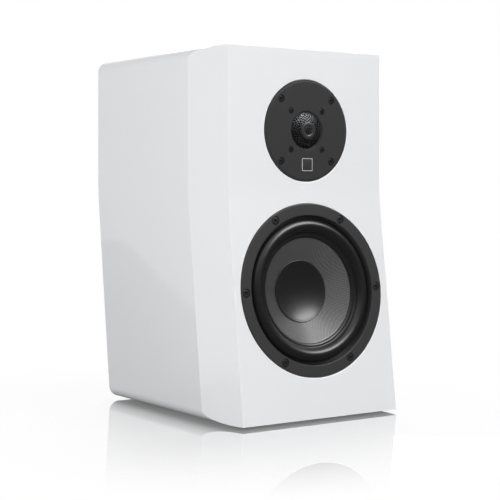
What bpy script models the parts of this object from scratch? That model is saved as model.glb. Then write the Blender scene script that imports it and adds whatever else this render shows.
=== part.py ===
"""Two-way bookshelf loudspeaker, in metres, with +Z up and its front facing -Y.

The origin is on the surface that the speaker stands on, under the middle of its overall box.
The cabinet panels are drawn upright and then leaned forward below the bend, all by the same rule,
so they keep meeting each other. The drivers, the port and the terminals hang on empties that sit on
the cabinet's faces; in each of those frames local +Z points out of the cabinet.
"""

import math

import bmesh
import bpy
import numpy as np
from mathutils import Matrix, Vector

# %% Driving dimensions

# Fits
GLUE_GAP = 0.0003
FIT = 0.0004

# Cabinet
CABINET_WIDTH = 0.220
CABINET_HEIGHT = 0.377
CABINET_DEPTH = 0.2503
WALL = 0.018
BAFFLE_THICKNESS = 0.025
EDGE_RADIUS = 0.011
CHAMFER_WIDTH = 0.0126
CHAMFER_DEPTH = 0.0548
LEAN_ANGLE = math.radians(6.9)
BEND_HEIGHT = 0.2296
BEND_RADIUS = 0.170
BEND_STEPS = 4
EDGE_STEPS = 5

# Inside the cabinet
BRACE_THICKNESS = 0.012
BRACE_ABOVE_BEND = 0.012
BRACE_RIM = 0.022
BRACE_RIB = 0.016
BRACE_CORNER_RADIUS = 0.010
FELT_THICKNESS = 0.010

# Feet
FOOT_HEIGHT = 0.003
FOOT_RADIUS = 0.009
FOOT_TAPER = 0.0008
FOOT_INSET_X = 0.036
FOOT_INSET_FRONT = 0.040
FOOT_INSET_REAR = 0.030

# Woofer
WOOFER_HEIGHT = 0.1296
WOOFER_FLANGE_RADIUS = 0.0890
WOOFER_FLANGE_BORE = 0.0770
WOOFER_FLANGE_THICKNESS = 0.0050
WOOFER_FLANGE_PROUD = 0.0006
WOOFER_SCREWS = 6
BASKET_NECK_WALL = 0.0015
BASKET_WALL = 0.0036
SURROUND_SEAT_WIDTH = 0.0030
BASKET_FOOT_RADIUS = 0.0540
BASKET_DEPTH = 0.0520
BASKET_FLOOR = 0.0030
BASKET_FLOOR_BORE = 0.0340
BASKET_WINDOWS = 6
BASKET_WINDOW_WIDTH = 0.034
BASKET_WINDOW_MARGIN = 0.0040
SURROUND_SEAT_DEPTH = 0.0072
SURROUND_LAND_WIDTH = 0.0031
SURROUND_ROLL_RADIUS = 0.0072
SURROUND_THICKNESS = 0.0010
CONE_LAND_WIDTH = 0.0052
CONE_EDGE_DEPTH = 0.0088
CONE_THICKNESS = 0.0006
CONE_RIM_WIDTH = 0.0042
CAP_RADIUS = 0.03255
CAP_DEPTH = 0.0229
CAP_SAG = 0.0060
CAP_THICKNESS = 0.0006
SPIDER_SEAT_HEIGHT = 0.0100
SPIDER_SEAT_WIDTH = 0.0070
SPIDER_THICKNESS = 0.0005
SPIDER_WAVES = 3
SPIDER_WAVE_HEIGHT = 0.0012
POLE_RADIUS = 0.0186
POLE_VENT_RADIUS = 0.0050
MAGNET_GAP = 0.0004
FORMER_THICKNESS = 0.0005
FORMER_ABOVE_NECK = 0.0008
WINDING_THICKNESS = 0.0007
WINDING_LENGTH = 0.0115
TOP_PLATE_RADIUS = 0.0450
TOP_PLATE_THICKNESS = 0.0060
MAGNET_BORE = 0.0270
MAGNET_RADIUS = 0.0500
MAGNET_THICKNESS = 0.0170
YOKE_RADIUS = 0.0440
YOKE_THICKNESS = 0.0060

# Tweeter
TWEETER_BELOW_TOP = 0.0835
FACEPLATE_RADIUS = 0.0525
FACEPLATE_THICKNESS = 0.0050
FACEPLATE_PROUD = 0.0008
FACEPLATE_SCREW_INSET = 0.0073
MOTOR_SCREW_CIRCLE = 0.02815
TWEETER_CUTOUT_MARGIN = 0.0050
GUARD_RISE = 0.0045
GUARD_WIRE = 0.0009
GUARD_BASE_DEPTH = 0.0008
GUARD_RINGS = 3
GUARD_SPOKES = 16
DIFFUSER_RADIUS = 0.0085
DIFFUSER_BORE = 0.0047
DIFFUSER_THICKNESS = 0.0009
DOME_RADIUS = 0.0129
DOME_RISE = 0.0040
DOME_THICKNESS = 0.00035
ROLL_RADIUS = 0.0023
DOME_LAND_WIDTH = 0.0011
DOME_FORMER_THICKNESS = 0.0003
DOME_FORMER_LENGTH = 0.0055
DOME_TRAVEL = 0.00025
TWEETER_PLATE_RADIUS = 0.0350
TWEETER_PLATE_THICKNESS = 0.0040
TWEETER_MAGNET_BORE = 0.0160
TWEETER_MAGNET_RADIUS = 0.0300
TWEETER_MAGNET_THICKNESS = 0.0080
TWEETER_YOKE_THICKNESS = 0.0040
TWEETER_VENT_RADIUS = 0.0040
CHAMBER_RADIUS = 0.0270
CHAMBER_LENGTH = 0.0300
CHAMBER_WALL = 0.0020

# Screws: head radius, shank radius, length
WOOFER_SCREW = (0.0039, 0.0020, 0.0200)
FACEPLATE_SCREW = (0.0034, 0.0017, 0.0180)
MOTOR_SCREW = (0.0026, 0.0014, 0.0070)
TERMINAL_SCREW = (0.0030, 0.0015, 0.0120)
SCREW_HEAD_EDGE = 0.0005
SOCKET_SHARE = 0.48
SOCKET_DEPTH = 0.0016

# Reflex port
PORT_BELOW_TOP = 0.0760
PORT_RADIUS = 0.0260
PORT_LENGTH = 0.1300
PORT_WALL = 0.0025
PORT_MOUTH_RADIUS = 0.0360
PORT_MOUTH_LENGTH = 0.0220
PORT_TAIL_RADIUS = 0.0310
PORT_TAIL_LENGTH = 0.0140
PORT_FLANGE_RADIUS = 0.0460
PORT_FLANGE_THICKNESS = 0.0030

# Terminals
TERMINAL_HEIGHT = 0.0620
TERMINAL_PLATE_WIDTH = 0.0840
TERMINAL_PLATE_HEIGHT = 0.0560
TERMINAL_PLATE_THICKNESS = 0.0020
TERMINAL_PLATE_CORNER = 0.0060
TERMINAL_CUTOUT_MARGIN = 0.0130
TERMINAL_SCREW_INSET = 0.0060
POST_SPACING = 0.0300
STUD_RADIUS = 0.0030
STUD_HEAD_RADIUS = 0.0054
STUD_HEAD_THICKNESS = 0.0030
STUD_TAIL = 0.0120
STUD_END_ROOM = 0.0020
SOCKET_BORE_RADIUS = 0.0021
SOCKET_BORE_DEPTH = 0.0110
WIRE_HOLE_RADIUS = 0.0013
COLLAR_RADIUS = 0.0085
COLLAR_THICKNESS = 0.0022
WASHER_RADIUS = 0.0070
WASHER_THICKNESS = 0.0010
CAP_NUT_RADIUS = 0.0080
CAP_NUT_LENGTH = 0.0120
CAP_NUT_FLUTES = 14
CAP_NUT_FLUTE_DEPTH = 0.0005
CAP_NUT_LIP = 0.0012

# Crossover
BOARD_WIDTH = 0.120
BOARD_DEPTH = 0.076
BOARD_THICKNESS = 0.0016
BOARD_STANDOFF = 0.0060
BOARD_STANDOFF_RADIUS = 0.0040
BOARD_STANDOFF_INSET = 0.0080
BOARD_REAR_ROOM = 0.0260
COIL_RADIUS = 0.0210
COIL_BORE = 0.0090
COIL_HEIGHT = 0.0200
COIL_FLANGE = 0.0015
COIL_OFFSET_X = 0.0280
CAPACITOR_RADIUS = 0.0100
CAPACITOR_LENGTH = 0.0420
CAPACITOR_BEVEL = 0.0015
CAPACITOR_OFFSET_X = 0.0300

# Facets round a full turn
FACETS_LARGE = 36
FACETS_MEDIUM = 24
FACETS_SMALL = 12
FACETS_SCREW = 8

# Steps along the curves of a profile
ROLL_STEPS = 4
DOME_ROLL_STEPS = 3
FLARE_STEPS = 3
CORNER_STEPS = 3

# %% Sizes that follow

LEAN_RUN = BEND_HEIGHT * math.tan(LEAN_ANGLE)
BEND_TOP = BEND_HEIGHT + BEND_RADIUS * math.tan(LEAN_ANGLE / 2)
HALF_WIDTH = CABINET_WIDTH / 2
INNER_HALF_WIDTH = HALF_WIDTH - WALL
PANEL_HALF_WIDTH = INNER_HALF_WIDTH - GLUE_GAP
BRACE_HEIGHT = BEND_HEIGHT + BRACE_ABOVE_BEND
BAFFLE_BACK = BAFFLE_THICKNESS + GLUE_GAP
REAR_PANEL_FRONT = CABINET_DEPTH - WALL
CUTTER_MARGIN = 0.010

WOOFER_SCREW_CIRCLE = (WOOFER_FLANGE_RADIUS + WOOFER_FLANGE_BORE) / 2
BASKET_NECK_RADIUS = WOOFER_FLANGE_BORE + BASKET_NECK_WALL
BASKET_MOUTH_RADIUS = WOOFER_FLANGE_BORE - SURROUND_SEAT_WIDTH
SURROUND_ROLL_CENTRE = WOOFER_FLANGE_BORE - SURROUND_LAND_WIDTH - SURROUND_ROLL_RADIUS
SPIDER_SEAT_DEPTH = BASKET_DEPTH - SPIDER_SEAT_HEIGHT
CONE_EDGE_RADIUS = SURROUND_ROLL_CENTRE - SURROUND_ROLL_RADIUS - CONE_LAND_WIDTH
CONE_SLOPE = (CAP_DEPTH - CONE_EDGE_DEPTH) / (CONE_EDGE_RADIUS - CAP_RADIUS)
FORMER_INNER_RADIUS = POLE_RADIUS + MAGNET_GAP
FORMER_RADIUS = FORMER_INNER_RADIUS + FORMER_THICKNESS
NECK_RADIUS = FORMER_RADIUS + GLUE_GAP
NECK_DEPTH = CONE_EDGE_DEPTH + CONE_SLOPE * (CONE_EDGE_RADIUS - NECK_RADIUS)
TOP_PLATE_BORE = FORMER_RADIUS + WINDING_THICKNESS + MAGNET_GAP
TOP_PLATE_DEPTH = BASKET_DEPTH + GLUE_GAP
WINDING_TOP_DEPTH = TOP_PLATE_DEPTH + (TOP_PLATE_THICKNESS - WINDING_LENGTH) / 2

TWEETER_HEIGHT = CABINET_HEIGHT - TWEETER_BELOW_TOP
FACEPLATE_BACK = FACEPLATE_PROUD - FACEPLATE_THICKNESS
FACEPLATE_BORE = DOME_RADIUS + 2 * ROLL_RADIUS + DOME_LAND_WIDTH + FIT
FACEPLATE_SCREW_CIRCLE = FACEPLATE_RADIUS - FACEPLATE_SCREW_INSET
TWEETER_CUTOUT_RADIUS = TWEETER_PLATE_RADIUS + TWEETER_CUTOUT_MARGIN
TWEETER_PLATE_TOP = FACEPLATE_BACK - GLUE_GAP
TWEETER_PLATE_BORE = DOME_RADIUS + MAGNET_GAP
TWEETER_POLE_RADIUS = DOME_RADIUS - DOME_FORMER_THICKNESS - MAGNET_GAP

PORT_HEIGHT = CABINET_HEIGHT - PORT_BELOW_TOP

TERMINAL_PLATE_TOP = GLUE_GAP + TERMINAL_PLATE_THICKNESS
COLLAR_LOW = TERMINAL_PLATE_TOP + GLUE_GAP
WASHER_LOW = COLLAR_LOW + COLLAR_THICKNESS + GLUE_GAP
NUT_LOW = WASHER_LOW + WASHER_THICKNESS + GLUE_GAP
STUD_REACH = NUT_LOW + CAP_NUT_LENGTH - CAP_NUT_LIP - STUD_END_ROOM


def bend_rows():
    """Heights and forward shifts of the rows that make the bend, from the bottom up."""
    heights = [0.0]
    shifts = [-LEAN_RUN]
    for step in range(BEND_STEPS, -1, -1):
        angle = LEAN_ANGLE * step / BEND_STEPS
        heights.append(BEND_TOP - BEND_RADIUS * math.sin(angle))
        shifts.append(BEND_RADIUS * (math.cos(angle) - 1))
    heights.append(CABINET_HEIGHT)
    shifts.append(0.0)
    return heights, shifts


ROW_HEIGHTS, ROW_SHIFTS = bend_rows()


def lean(height):
    """How far the cabinet is shifted along Y at a height above its own bottom."""
    return float(np.interp(height, ROW_HEIGHTS, ROW_SHIFTS))


# %% Scene and collections

for old_object in list(bpy.data.objects):
    bpy.data.objects.remove(old_object)

PARTS = bpy.data.collections.new("bookshelf_speaker")
CUTTERS = bpy.data.collections.new("cutters")
bpy.context.scene.collection.children.link(PARTS)
bpy.context.scene.collection.children.link(CUTTERS)


def make_material(name, colour, roughness, metallic=0.0, coat=0.0):
    material = bpy.data.materials.new(name)
    material.use_nodes = True
    shader = material.node_tree.nodes["Principled BSDF"]
    shader.inputs["Base Color"].default_value = (*colour, 1.0)
    shader.inputs["Roughness"].default_value = roughness
    shader.inputs["Metallic"].default_value = metallic
    shader.inputs["Coat Weight"].default_value = coat
    material.diffuse_color = (*colour, 1.0)
    return material


LACQUER = make_material("white_lacquer", (0.76, 0.77, 0.78), 0.15, coat=1.0)
FIBREBOARD = make_material("fibreboard", (0.36, 0.25, 0.15), 0.85)
FELT = make_material("grey_felt", (0.22, 0.22, 0.22), 1.0)
RUBBER = make_material("black_rubber", (0.02, 0.02, 0.02), 0.6)
SATIN_BLACK = make_material("satin_black", (0.05, 0.05, 0.052), 0.38)
WOVEN_FIBRE = make_material("woven_fibre", (0.055, 0.055, 0.06), 0.45)
CAP_SATIN = make_material("cap_satin", (0.06, 0.06, 0.065), 0.35)
COPPER = make_material("copper", (0.65, 0.30, 0.16), 0.35, metallic=1.0)
YELLOW_CLOTH = make_material("spider_cloth", (0.55, 0.40, 0.14), 0.9)
STEEL = make_material("zinc_steel", (0.55, 0.55, 0.57), 0.35, metallic=1.0)
FERRITE = make_material("ferrite", (0.04, 0.04, 0.045), 0.7)
BLACK_STEEL = make_material("black_steel", (0.03, 0.03, 0.03), 0.4, metallic=1.0)
MATTE_GREY = make_material("matte_grey", (0.047, 0.047, 0.047), 0.6)
GUARD_METAL = make_material("guard_metal", (0.30, 0.30, 0.31), 0.3, metallic=1.0)
DOME_METAL = make_material("dome_metal", (0.60, 0.60, 0.62), 0.3, metallic=1.0)
BLACK_PLASTIC = make_material("black_plastic", (0.03, 0.03, 0.03), 0.5)
GOLD = make_material("gold_plate", (0.83, 0.62, 0.25), 0.25, metallic=1.0)
BOARD_GREEN = make_material("board_green", (0.03, 0.16, 0.07), 0.5)


def make_empty(name, location, rotation=(0.0, 0.0, 0.0), parent=None):
    empty = bpy.data.objects.new(name, None)
    empty.empty_display_size = 0.02
    empty.location = location
    empty.rotation_euler = rotation
    empty.parent = parent
    PARTS.objects.link(empty)
    return empty


def add_part(name, mesh, finish, parent, location=(0.0, 0.0, 0.0), turn=0.0):
    """A named sub-part, turned about its own Z."""
    part = bpy.data.objects.new(name, mesh)
    part.location = location
    part.rotation_euler = (0.0, 0.0, turn)
    part.parent = parent
    PARTS.objects.link(part)
    if not mesh.materials:
        mesh.materials.append(finish)
    return part


def add_cutter(name, mesh, parent, location=(0.0, 0.0, 0.0)):
    cutter = bpy.data.objects.new(name, mesh)
    cutter.location = location
    cutter.parent = parent
    cutter.hide_render = True
    cutter.display_type = "WIRE"
    CUTTERS.objects.link(cutter)
    return cutter


def combine(part, cutter, operation="DIFFERENCE"):
    """A live Boolean of the part with a cutter."""
    boolean = part.modifiers.new(cutter.name, "BOOLEAN")
    boolean.operation = operation
    boolean.solver = "EXACT"
    boolean.object = cutter


# %% Shapes

def evaluated_mesh(thing, name):
    """The mesh of an object with its modifiers applied; the object itself is removed."""
    bpy.context.scene.collection.objects.link(thing)
    bpy.context.view_layer.update()
    graph = bpy.context.evaluated_depsgraph_get()
    mesh = bpy.data.meshes.new_from_object(thing.evaluated_get(graph))
    mesh.name = name
    bpy.data.objects.remove(thing)
    return mesh


def closed_mesh(name, bm):
    """Close a bmesh: weld it, face it outwards and give it to a mesh."""
    bmesh.ops.remove_doubles(bm, verts=bm.verts, dist=1e-6)
    bmesh.ops.recalc_face_normals(bm, faces=bm.faces)
    mesh = bpy.data.meshes.new(name)
    bm.to_mesh(mesh)
    bm.free()
    return mesh


def turned_mesh(name, profile, steps):
    """A profile of (radius, height) points turned about Z. It runs down the outer side.

    A profile that starts and ends on the axis makes a solid; any other one is closed to a ring.
    """
    count = len(profile)
    edges = [(i, i + 1) for i in range(count - 1)]
    if profile[0][0] > 0:
        edges.append((count - 1, 0))
    outline = bpy.data.meshes.new(name)
    outline.from_pydata([(radius, 0.0, height) for radius, height in profile], edges, [])
    turned = bpy.data.objects.new(name, outline)
    screw = turned.modifiers.new("turn", "SCREW")
    screw.axis = "Z"
    screw.steps = steps
    screw.render_steps = steps
    screw.use_merge_vertices = True
    screw.merge_threshold = 1e-6
    mesh = evaluated_mesh(turned, name)
    mesh.shade_smooth()
    mesh.set_sharp_from_angle(angle=math.radians(35))
    return mesh


def arc(centre, radius, start, end, steps):
    """Points on an arc from one angle in degrees to another."""
    points = []
    for step in range(steps + 1):
        angle = math.radians(start + (end - start) * step / steps)
        points.append((centre[0] + radius * math.cos(angle), centre[1] + radius * math.sin(angle)))
    return points


def outline_mesh(name, points, low, high):
    """A flat outline in XY made into a plate between two heights."""
    curve = bpy.data.curves.new(name, "CURVE")
    curve.dimensions = "2D"
    curve.fill_mode = "BOTH"
    curve.extrude = (high - low) / 2
    spline = curve.splines.new("POLY")
    spline.points.add(len(points) - 1)
    for point, (x, y) in zip(spline.points, points):
        point.co = (x, y, 0.0, 1.0)
    spline.use_cyclic_u = True
    mesh = evaluated_mesh(bpy.data.objects.new(name, curve), name)
    bm = bmesh.new()
    bm.from_mesh(mesh)
    bmesh.ops.translate(bm, verts=bm.verts, vec=(0.0, 0.0, (low + high) / 2))
    return closed_mesh(name, bm)


def box_bmesh(low, high):
    bm = bmesh.new()
    centre = (Vector(low) + Vector(high)) / 2
    size = Vector(high) - Vector(low)
    matrix = Matrix.Translation(centre) @ Matrix.Diagonal(size).to_4x4()
    bmesh.ops.create_cube(bm, size=1.0, matrix=matrix)
    return bm


def edges_along(bm, axis):
    """The straight edges of a bmesh that run along X, Y or Z, given as 0, 1 or 2."""
    found = []
    for edge in bm.edges:
        direction = (edge.verts[0].co - edge.verts[1].co).normalized()
        if abs(direction[axis]) > 0.999:
            found.append(edge)
    return found


def round_edges(bm, axis, radius, steps):
    bmesh.ops.bevel(bm, geom=edges_along(bm, axis), offset=radius, offset_type="OFFSET",
                    segments=steps, profile=0.5, affect="EDGES")


def rounded_box_mesh(name, low, high, axis, radius, steps):
    bm = box_bmesh(low, high)
    round_edges(bm, axis, radius, steps)
    return closed_mesh(name, bm)


def cut_away(bm, point, outward):
    """Remove what lies beyond a plane and close the cut face."""
    everything = bm.verts[:] + bm.edges[:] + bm.faces[:]
    cut = bmesh.ops.bisect_plane(bm, geom=everything, plane_co=point, plane_no=outward,
                                 dist=1e-7, clear_outer=True)
    rim = [item for item in cut["geom_cut"] if isinstance(item, bmesh.types.BMEdge)]
    bmesh.ops.edgeloop_fill(bm, edges=rim)


def leaned_mesh(name, bm):
    """Cut rows across an upright piece at the bend and shift each one forward."""
    for height in ROW_HEIGHTS[1:-1]:
        everything = bm.verts[:] + bm.edges[:] + bm.faces[:]
        bmesh.ops.bisect_plane(bm, geom=everything, plane_co=(0.0, 0.0, height),
                               plane_no=(0.0, 0.0, 1.0), dist=1e-7)
    for vertex in bm.verts:
        vertex.co.y += lean(vertex.co.z)
    return closed_mesh(name, bm)


def ring_of_copies(name, mesh, places):
    """One mesh that holds a copy of another at each (x, y, turn)."""
    bm = bmesh.new()
    for x, y, turn in places:
        copy = mesh.copy()
        copy.transform(Matrix.Translation((x, y, 0.0)) @ Matrix.Rotation(turn, 4, "Z"))
        bm.from_mesh(copy)
        bpy.data.meshes.remove(copy)
    copies = bpy.data.meshes.new(name)
    bm.to_mesh(copies)
    bm.free()
    return copies


def circle_places(radius, count, first_angle=0.0):
    places = []
    for index in range(count):
        angle = first_angle + 2 * math.pi * index / count
        places.append((radius * math.cos(angle), radius * math.sin(angle), angle))
    return places


# %% Screws

def screw_profile(size, clearance=0.0, lift=0.0):
    """Half outline of a countersunk screw whose head is flush with local zero.

    With a clearance and a lift it is the hole that the screw goes in.
    """
    head, shank, length = size
    cone_depth = SCREW_HEAD_EDGE + head - shank
    return [(0.0, lift),
            (head + clearance, lift),
            (head + clearance, -SCREW_HEAD_EDGE - clearance),
            (shank + clearance, -cone_depth - clearance),
            (shank + clearance, -length - clearance),
            (0.0, -length - clearance)]


def screw_mesh(name, size):
    """A screw with a hexagonal socket in its head."""
    blank = bpy.data.objects.new(name, turned_mesh(name, screw_profile(size), FACETS_SCREW))
    key_radius = size[0] * SOCKET_SHARE
    key = bmesh.new()
    bmesh.ops.create_cone(key, cap_ends=True, segments=6, radius1=key_radius, radius2=key_radius,
                          depth=2 * SOCKET_DEPTH)
    socket = add_cutter(name + "_socket", closed_mesh(name + "_socket", key), None)
    combine(blank, socket)
    return evaluated_mesh(blank, name)


def add_screws(name, size, places, depth, finish, parent):
    """Screws at their places, and one cutter that holds all their holes."""
    mesh = screw_mesh(name, size)
    for index, (x, y, turn) in enumerate(places, start=1):
        add_part(f"{name}_{index}", mesh, finish, parent, (x, y, depth), turn)
    hole = turned_mesh(name + "_hole", screw_profile(size, FIT, CUTTER_MARGIN), FACETS_SCREW)
    holes = ring_of_copies(name + "_holes", hole, places)
    return add_cutter(name + "_holes", holes, parent, (0.0, 0.0, depth))


# %% Frames that the pieces hang on

CABINET = make_empty("cabinet_frame", (0.0, (LEAN_RUN - CABINET_DEPTH) / 2, FOOT_HEIGHT))
WOOFER = make_empty("woofer_frame", (0.0, lean(WOOFER_HEIGHT), WOOFER_HEIGHT),
                    (math.pi / 2 - LEAN_ANGLE, 0.0, 0.0), CABINET)
TWEETER = make_empty("tweeter_frame", (0.0, lean(TWEETER_HEIGHT), TWEETER_HEIGHT),
                     (math.pi / 2, 0.0, 0.0), CABINET)
PORT = make_empty("port_frame", (0.0, CABINET_DEPTH + lean(PORT_HEIGHT), PORT_HEIGHT),
                  (math.pi / 2, 0.0, math.pi), CABINET)
TERMINAL = make_empty("terminal_frame",
                      (0.0, CABINET_DEPTH + lean(TERMINAL_HEIGHT), TERMINAL_HEIGHT),
                      (math.pi / 2 + LEAN_ANGLE, 0.0, math.pi), CABINET)


# %% Cabinet

def cabinet_block():
    """The whole upright cabinet as one block: rounded long edges, then the front chamfers."""
    bm = box_bmesh((-HALF_WIDTH, 0.0, 0.0), (HALF_WIDTH, CABINET_DEPTH, CABINET_HEIGHT))
    round_edges(bm, 1, EDGE_RADIUS, EDGE_STEPS)
    for side in (-1, 1):
        cut_away(bm, (side * (HALF_WIDTH - CHAMFER_WIDTH), 0.0, 0.0),
                 (side * CHAMFER_DEPTH, -CHAMFER_WIDTH, 0.0))
    return bm


def front_baffle():
    bm = cabinet_block()
    cut_away(bm, (0.0, BAFFLE_THICKNESS, 0.0), (0.0, 1.0, 0.0))
    return add_part("front_baffle", leaned_mesh("front_baffle", bm), LACQUER, CABINET)


def side_panel(name, side):
    bm = cabinet_block()
    cut_away(bm, (0.0, BAFFLE_THICKNESS + GLUE_GAP, 0.0), (0.0, -1.0, 0.0))
    cut_away(bm, (side * INNER_HALF_WIDTH, 0.0, 0.0), (-side, 0.0, 0.0))
    return add_part(name, leaned_mesh(name, bm), LACQUER, CABINET)


def inner_panel(name, front, rear, bottom, top, finish):
    """A panel that fits between the two sides."""
    bm = box_bmesh((-PANEL_HALF_WIDTH, front, bottom), (PANEL_HALF_WIDTH, rear, top))
    return add_part(name, leaned_mesh(name, bm), finish, CABINET)


baffle = front_baffle()
side_panel("left_side_panel", -1)
side_panel("right_side_panel", 1)
inner_panel("top_panel", BAFFLE_BACK, CABINET_DEPTH, CABINET_HEIGHT - WALL, CABINET_HEIGHT, LACQUER)
inner_panel("bottom_panel", BAFFLE_BACK, CABINET_DEPTH, 0.0, WALL, LACQUER)
rear_panel = inner_panel("rear_panel", REAR_PANEL_FRONT, CABINET_DEPTH, WALL + GLUE_GAP,
                         CABINET_HEIGHT - WALL - GLUE_GAP, LACQUER)


def window_brace():
    """A shelf between the two drivers, with two rounded windows and a rib between them."""
    front = BAFFLE_BACK
    rear = REAR_PANEL_FRONT - GLUE_GAP
    brace = inner_panel("window_brace", front, rear, BRACE_HEIGHT, BRACE_HEIGHT + BRACE_THICKNESS,
                        FIBREBOARD)
    for name, side in (("left", -1), ("right", 1)):
        inner_x = side * BRACE_RIB / 2
        outer_x = side * (PANEL_HALF_WIDTH - BRACE_RIM)
        window = rounded_box_mesh(
            f"brace_window_{name}",
            (min(inner_x, outer_x), front + BRACE_RIM, BRACE_HEIGHT - CUTTER_MARGIN),
            (max(inner_x, outer_x), rear - BRACE_RIM, BRACE_HEIGHT + BRACE_THICKNESS + CUTTER_MARGIN),
            2, BRACE_CORNER_RADIUS, CORNER_STEPS)
        combine(brace, add_cutter(f"brace_window_{name}", window, CABINET))


window_brace()


def damping_felt():
    """A U-shaped lining of the lower chamber: both sides and the rear."""
    rear = REAR_PANEL_FRONT - GLUE_GAP
    bottom = WALL + GLUE_GAP
    top = BRACE_HEIGHT - GLUE_GAP
    outer = box_bmesh((-PANEL_HALF_WIDTH, BAFFLE_BACK, bottom), (PANEL_HALF_WIDTH, rear, top))
    felt = add_part("damping_felt", leaned_mesh("damping_felt", outer), FELT, CABINET)
    inner_half = PANEL_HALF_WIDTH - FELT_THICKNESS
    inner = box_bmesh((-inner_half, BAFFLE_BACK - CUTTER_MARGIN, 0.0),
                      (inner_half, rear - FELT_THICKNESS, CABINET_HEIGHT))
    combine(felt, add_cutter("felt_hollow", leaned_mesh("felt_hollow", inner), CABINET))
    return felt


felt = damping_felt()


def rubber_feet():
    profile = [(0.0, -GLUE_GAP),
               (FOOT_RADIUS, -GLUE_GAP),
               (FOOT_RADIUS - FOOT_TAPER, -FOOT_HEIGHT),
               (0.0, -FOOT_HEIGHT)]
    mesh = turned_mesh("rubber_foot", profile, FACETS_MEDIUM)
    x = HALF_WIDTH - FOOT_INSET_X
    front = FOOT_INSET_FRONT - LEAN_RUN
    rear = CABINET_DEPTH - LEAN_RUN - FOOT_INSET_REAR
    for name, place in (("foot_front_left", (-x, front, 0.0)), ("foot_front_right", (x, front, 0.0)),
                        ("foot_rear_left", (-x, rear, 0.0)), ("foot_rear_right", (x, rear, 0.0))):
        add_part(name, mesh, RUBBER, CABINET, place)


rubber_feet()


def driver_hole(name, flange_radius, rebate, hole_radius, parent):
    """A rebate for a round flange and the hole behind it, through the baffle."""
    profile = [(0.0, CUTTER_MARGIN),
               (flange_radius + FIT, CUTTER_MARGIN),
               (flange_radius + FIT, -rebate),
               (hole_radius, -rebate),
               (hole_radius, -BAFFLE_THICKNESS - CUTTER_MARGIN),
               (0.0, -BAFFLE_THICKNESS - CUTTER_MARGIN)]
    return add_cutter(name, turned_mesh(name, profile, FACETS_LARGE), parent)


combine(baffle, driver_hole("woofer_hole", WOOFER_FLANGE_RADIUS,
                            WOOFER_FLANGE_THICKNESS - WOOFER_FLANGE_PROUD + GLUE_GAP,
                            BASKET_NECK_RADIUS + FIT, WOOFER))
combine(baffle, driver_hole("tweeter_hole", FACEPLATE_RADIUS,
                            GLUE_GAP - FACEPLATE_BACK, TWEETER_CUTOUT_RADIUS, TWEETER))


# %% Woofer

def woofer_basket():
    """A cast basket: flange, seat for the surround, spokes, seat for the spider, floor."""
    spider_land = BASKET_FOOT_RADIUS - SPIDER_SEAT_WIDTH
    profile = [(WOOFER_FLANGE_RADIUS, WOOFER_FLANGE_PROUD),
               (WOOFER_FLANGE_RADIUS, WOOFER_FLANGE_PROUD - WOOFER_FLANGE_THICKNESS),
               (BASKET_NECK_RADIUS, WOOFER_FLANGE_PROUD - WOOFER_FLANGE_THICKNESS),
               (BASKET_NECK_RADIUS, -SURROUND_SEAT_DEPTH - BASKET_WALL),
               (BASKET_FOOT_RADIUS + BASKET_WALL, -SPIDER_SEAT_DEPTH - BASKET_WALL),
               (BASKET_FOOT_RADIUS + BASKET_WALL, -BASKET_DEPTH),
               (BASKET_FLOOR_BORE, -BASKET_DEPTH),
               (BASKET_FLOOR_BORE, BASKET_FLOOR - BASKET_DEPTH),
               (spider_land, BASKET_FLOOR - BASKET_DEPTH),
               (spider_land, -SPIDER_SEAT_DEPTH),
               (BASKET_FOOT_RADIUS, -SPIDER_SEAT_DEPTH),
               (BASKET_MOUTH_RADIUS, -SURROUND_SEAT_DEPTH - BASKET_WALL),
               (BASKET_MOUTH_RADIUS, -SURROUND_SEAT_DEPTH),
               (WOOFER_FLANGE_BORE, -SURROUND_SEAT_DEPTH),
               (WOOFER_FLANGE_BORE, WOOFER_FLANGE_PROUD)]
    basket = add_part("woofer_basket", turned_mesh("woofer_basket", profile, FACETS_LARGE),
                      SATIN_BLACK, WOOFER)
    half_width = BASKET_WINDOW_WIDTH / 2
    window_top = -SURROUND_SEAT_DEPTH - BASKET_WALL - BASKET_WINDOW_MARGIN
    window_bottom = BASKET_WINDOW_MARGIN - SPIDER_SEAT_DEPTH
    window = closed_mesh("basket_window",
                         box_bmesh((spider_land, -half_width, window_bottom),
                                   (WOOFER_FLANGE_RADIUS, half_width, window_top)))
    places = circle_places(0.0, BASKET_WINDOWS, math.pi / BASKET_WINDOWS)
    windows = ring_of_copies("basket_windows", window, places)
    combine(basket, add_cutter("basket_windows", windows, WOOFER))
    return basket


def woofer_surround():
    """A half-roll rubber edge, from its land on the basket to its land on the cone."""
    base = GLUE_GAP - SURROUND_SEAT_DEPTH
    centre = (SURROUND_ROLL_CENTRE, base)
    outer_land = WOOFER_FLANGE_BORE - GLUE_GAP
    inner_roll = SURROUND_ROLL_RADIUS - SURROUND_THICKNESS
    lip_angle = math.degrees(math.asin(SURROUND_THICKNESS / SURROUND_ROLL_RADIUS))
    land_end = -CONE_EDGE_DEPTH + GLUE_GAP
    profile = [(outer_land, base + SURROUND_THICKNESS), (outer_land, base)]
    profile += arc(centre, inner_roll, 0, 180, ROLL_STEPS)
    profile += [(CONE_EDGE_RADIUS, land_end), (CONE_EDGE_RADIUS, land_end + SURROUND_THICKNESS)]
    profile += arc(centre, SURROUND_ROLL_RADIUS, 180 - lip_angle, lip_angle, ROLL_STEPS + 1)
    mesh = turned_mesh("woofer_surround", profile, FACETS_LARGE)
    return add_part("woofer_surround", mesh, RUBBER, WOOFER)


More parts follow.
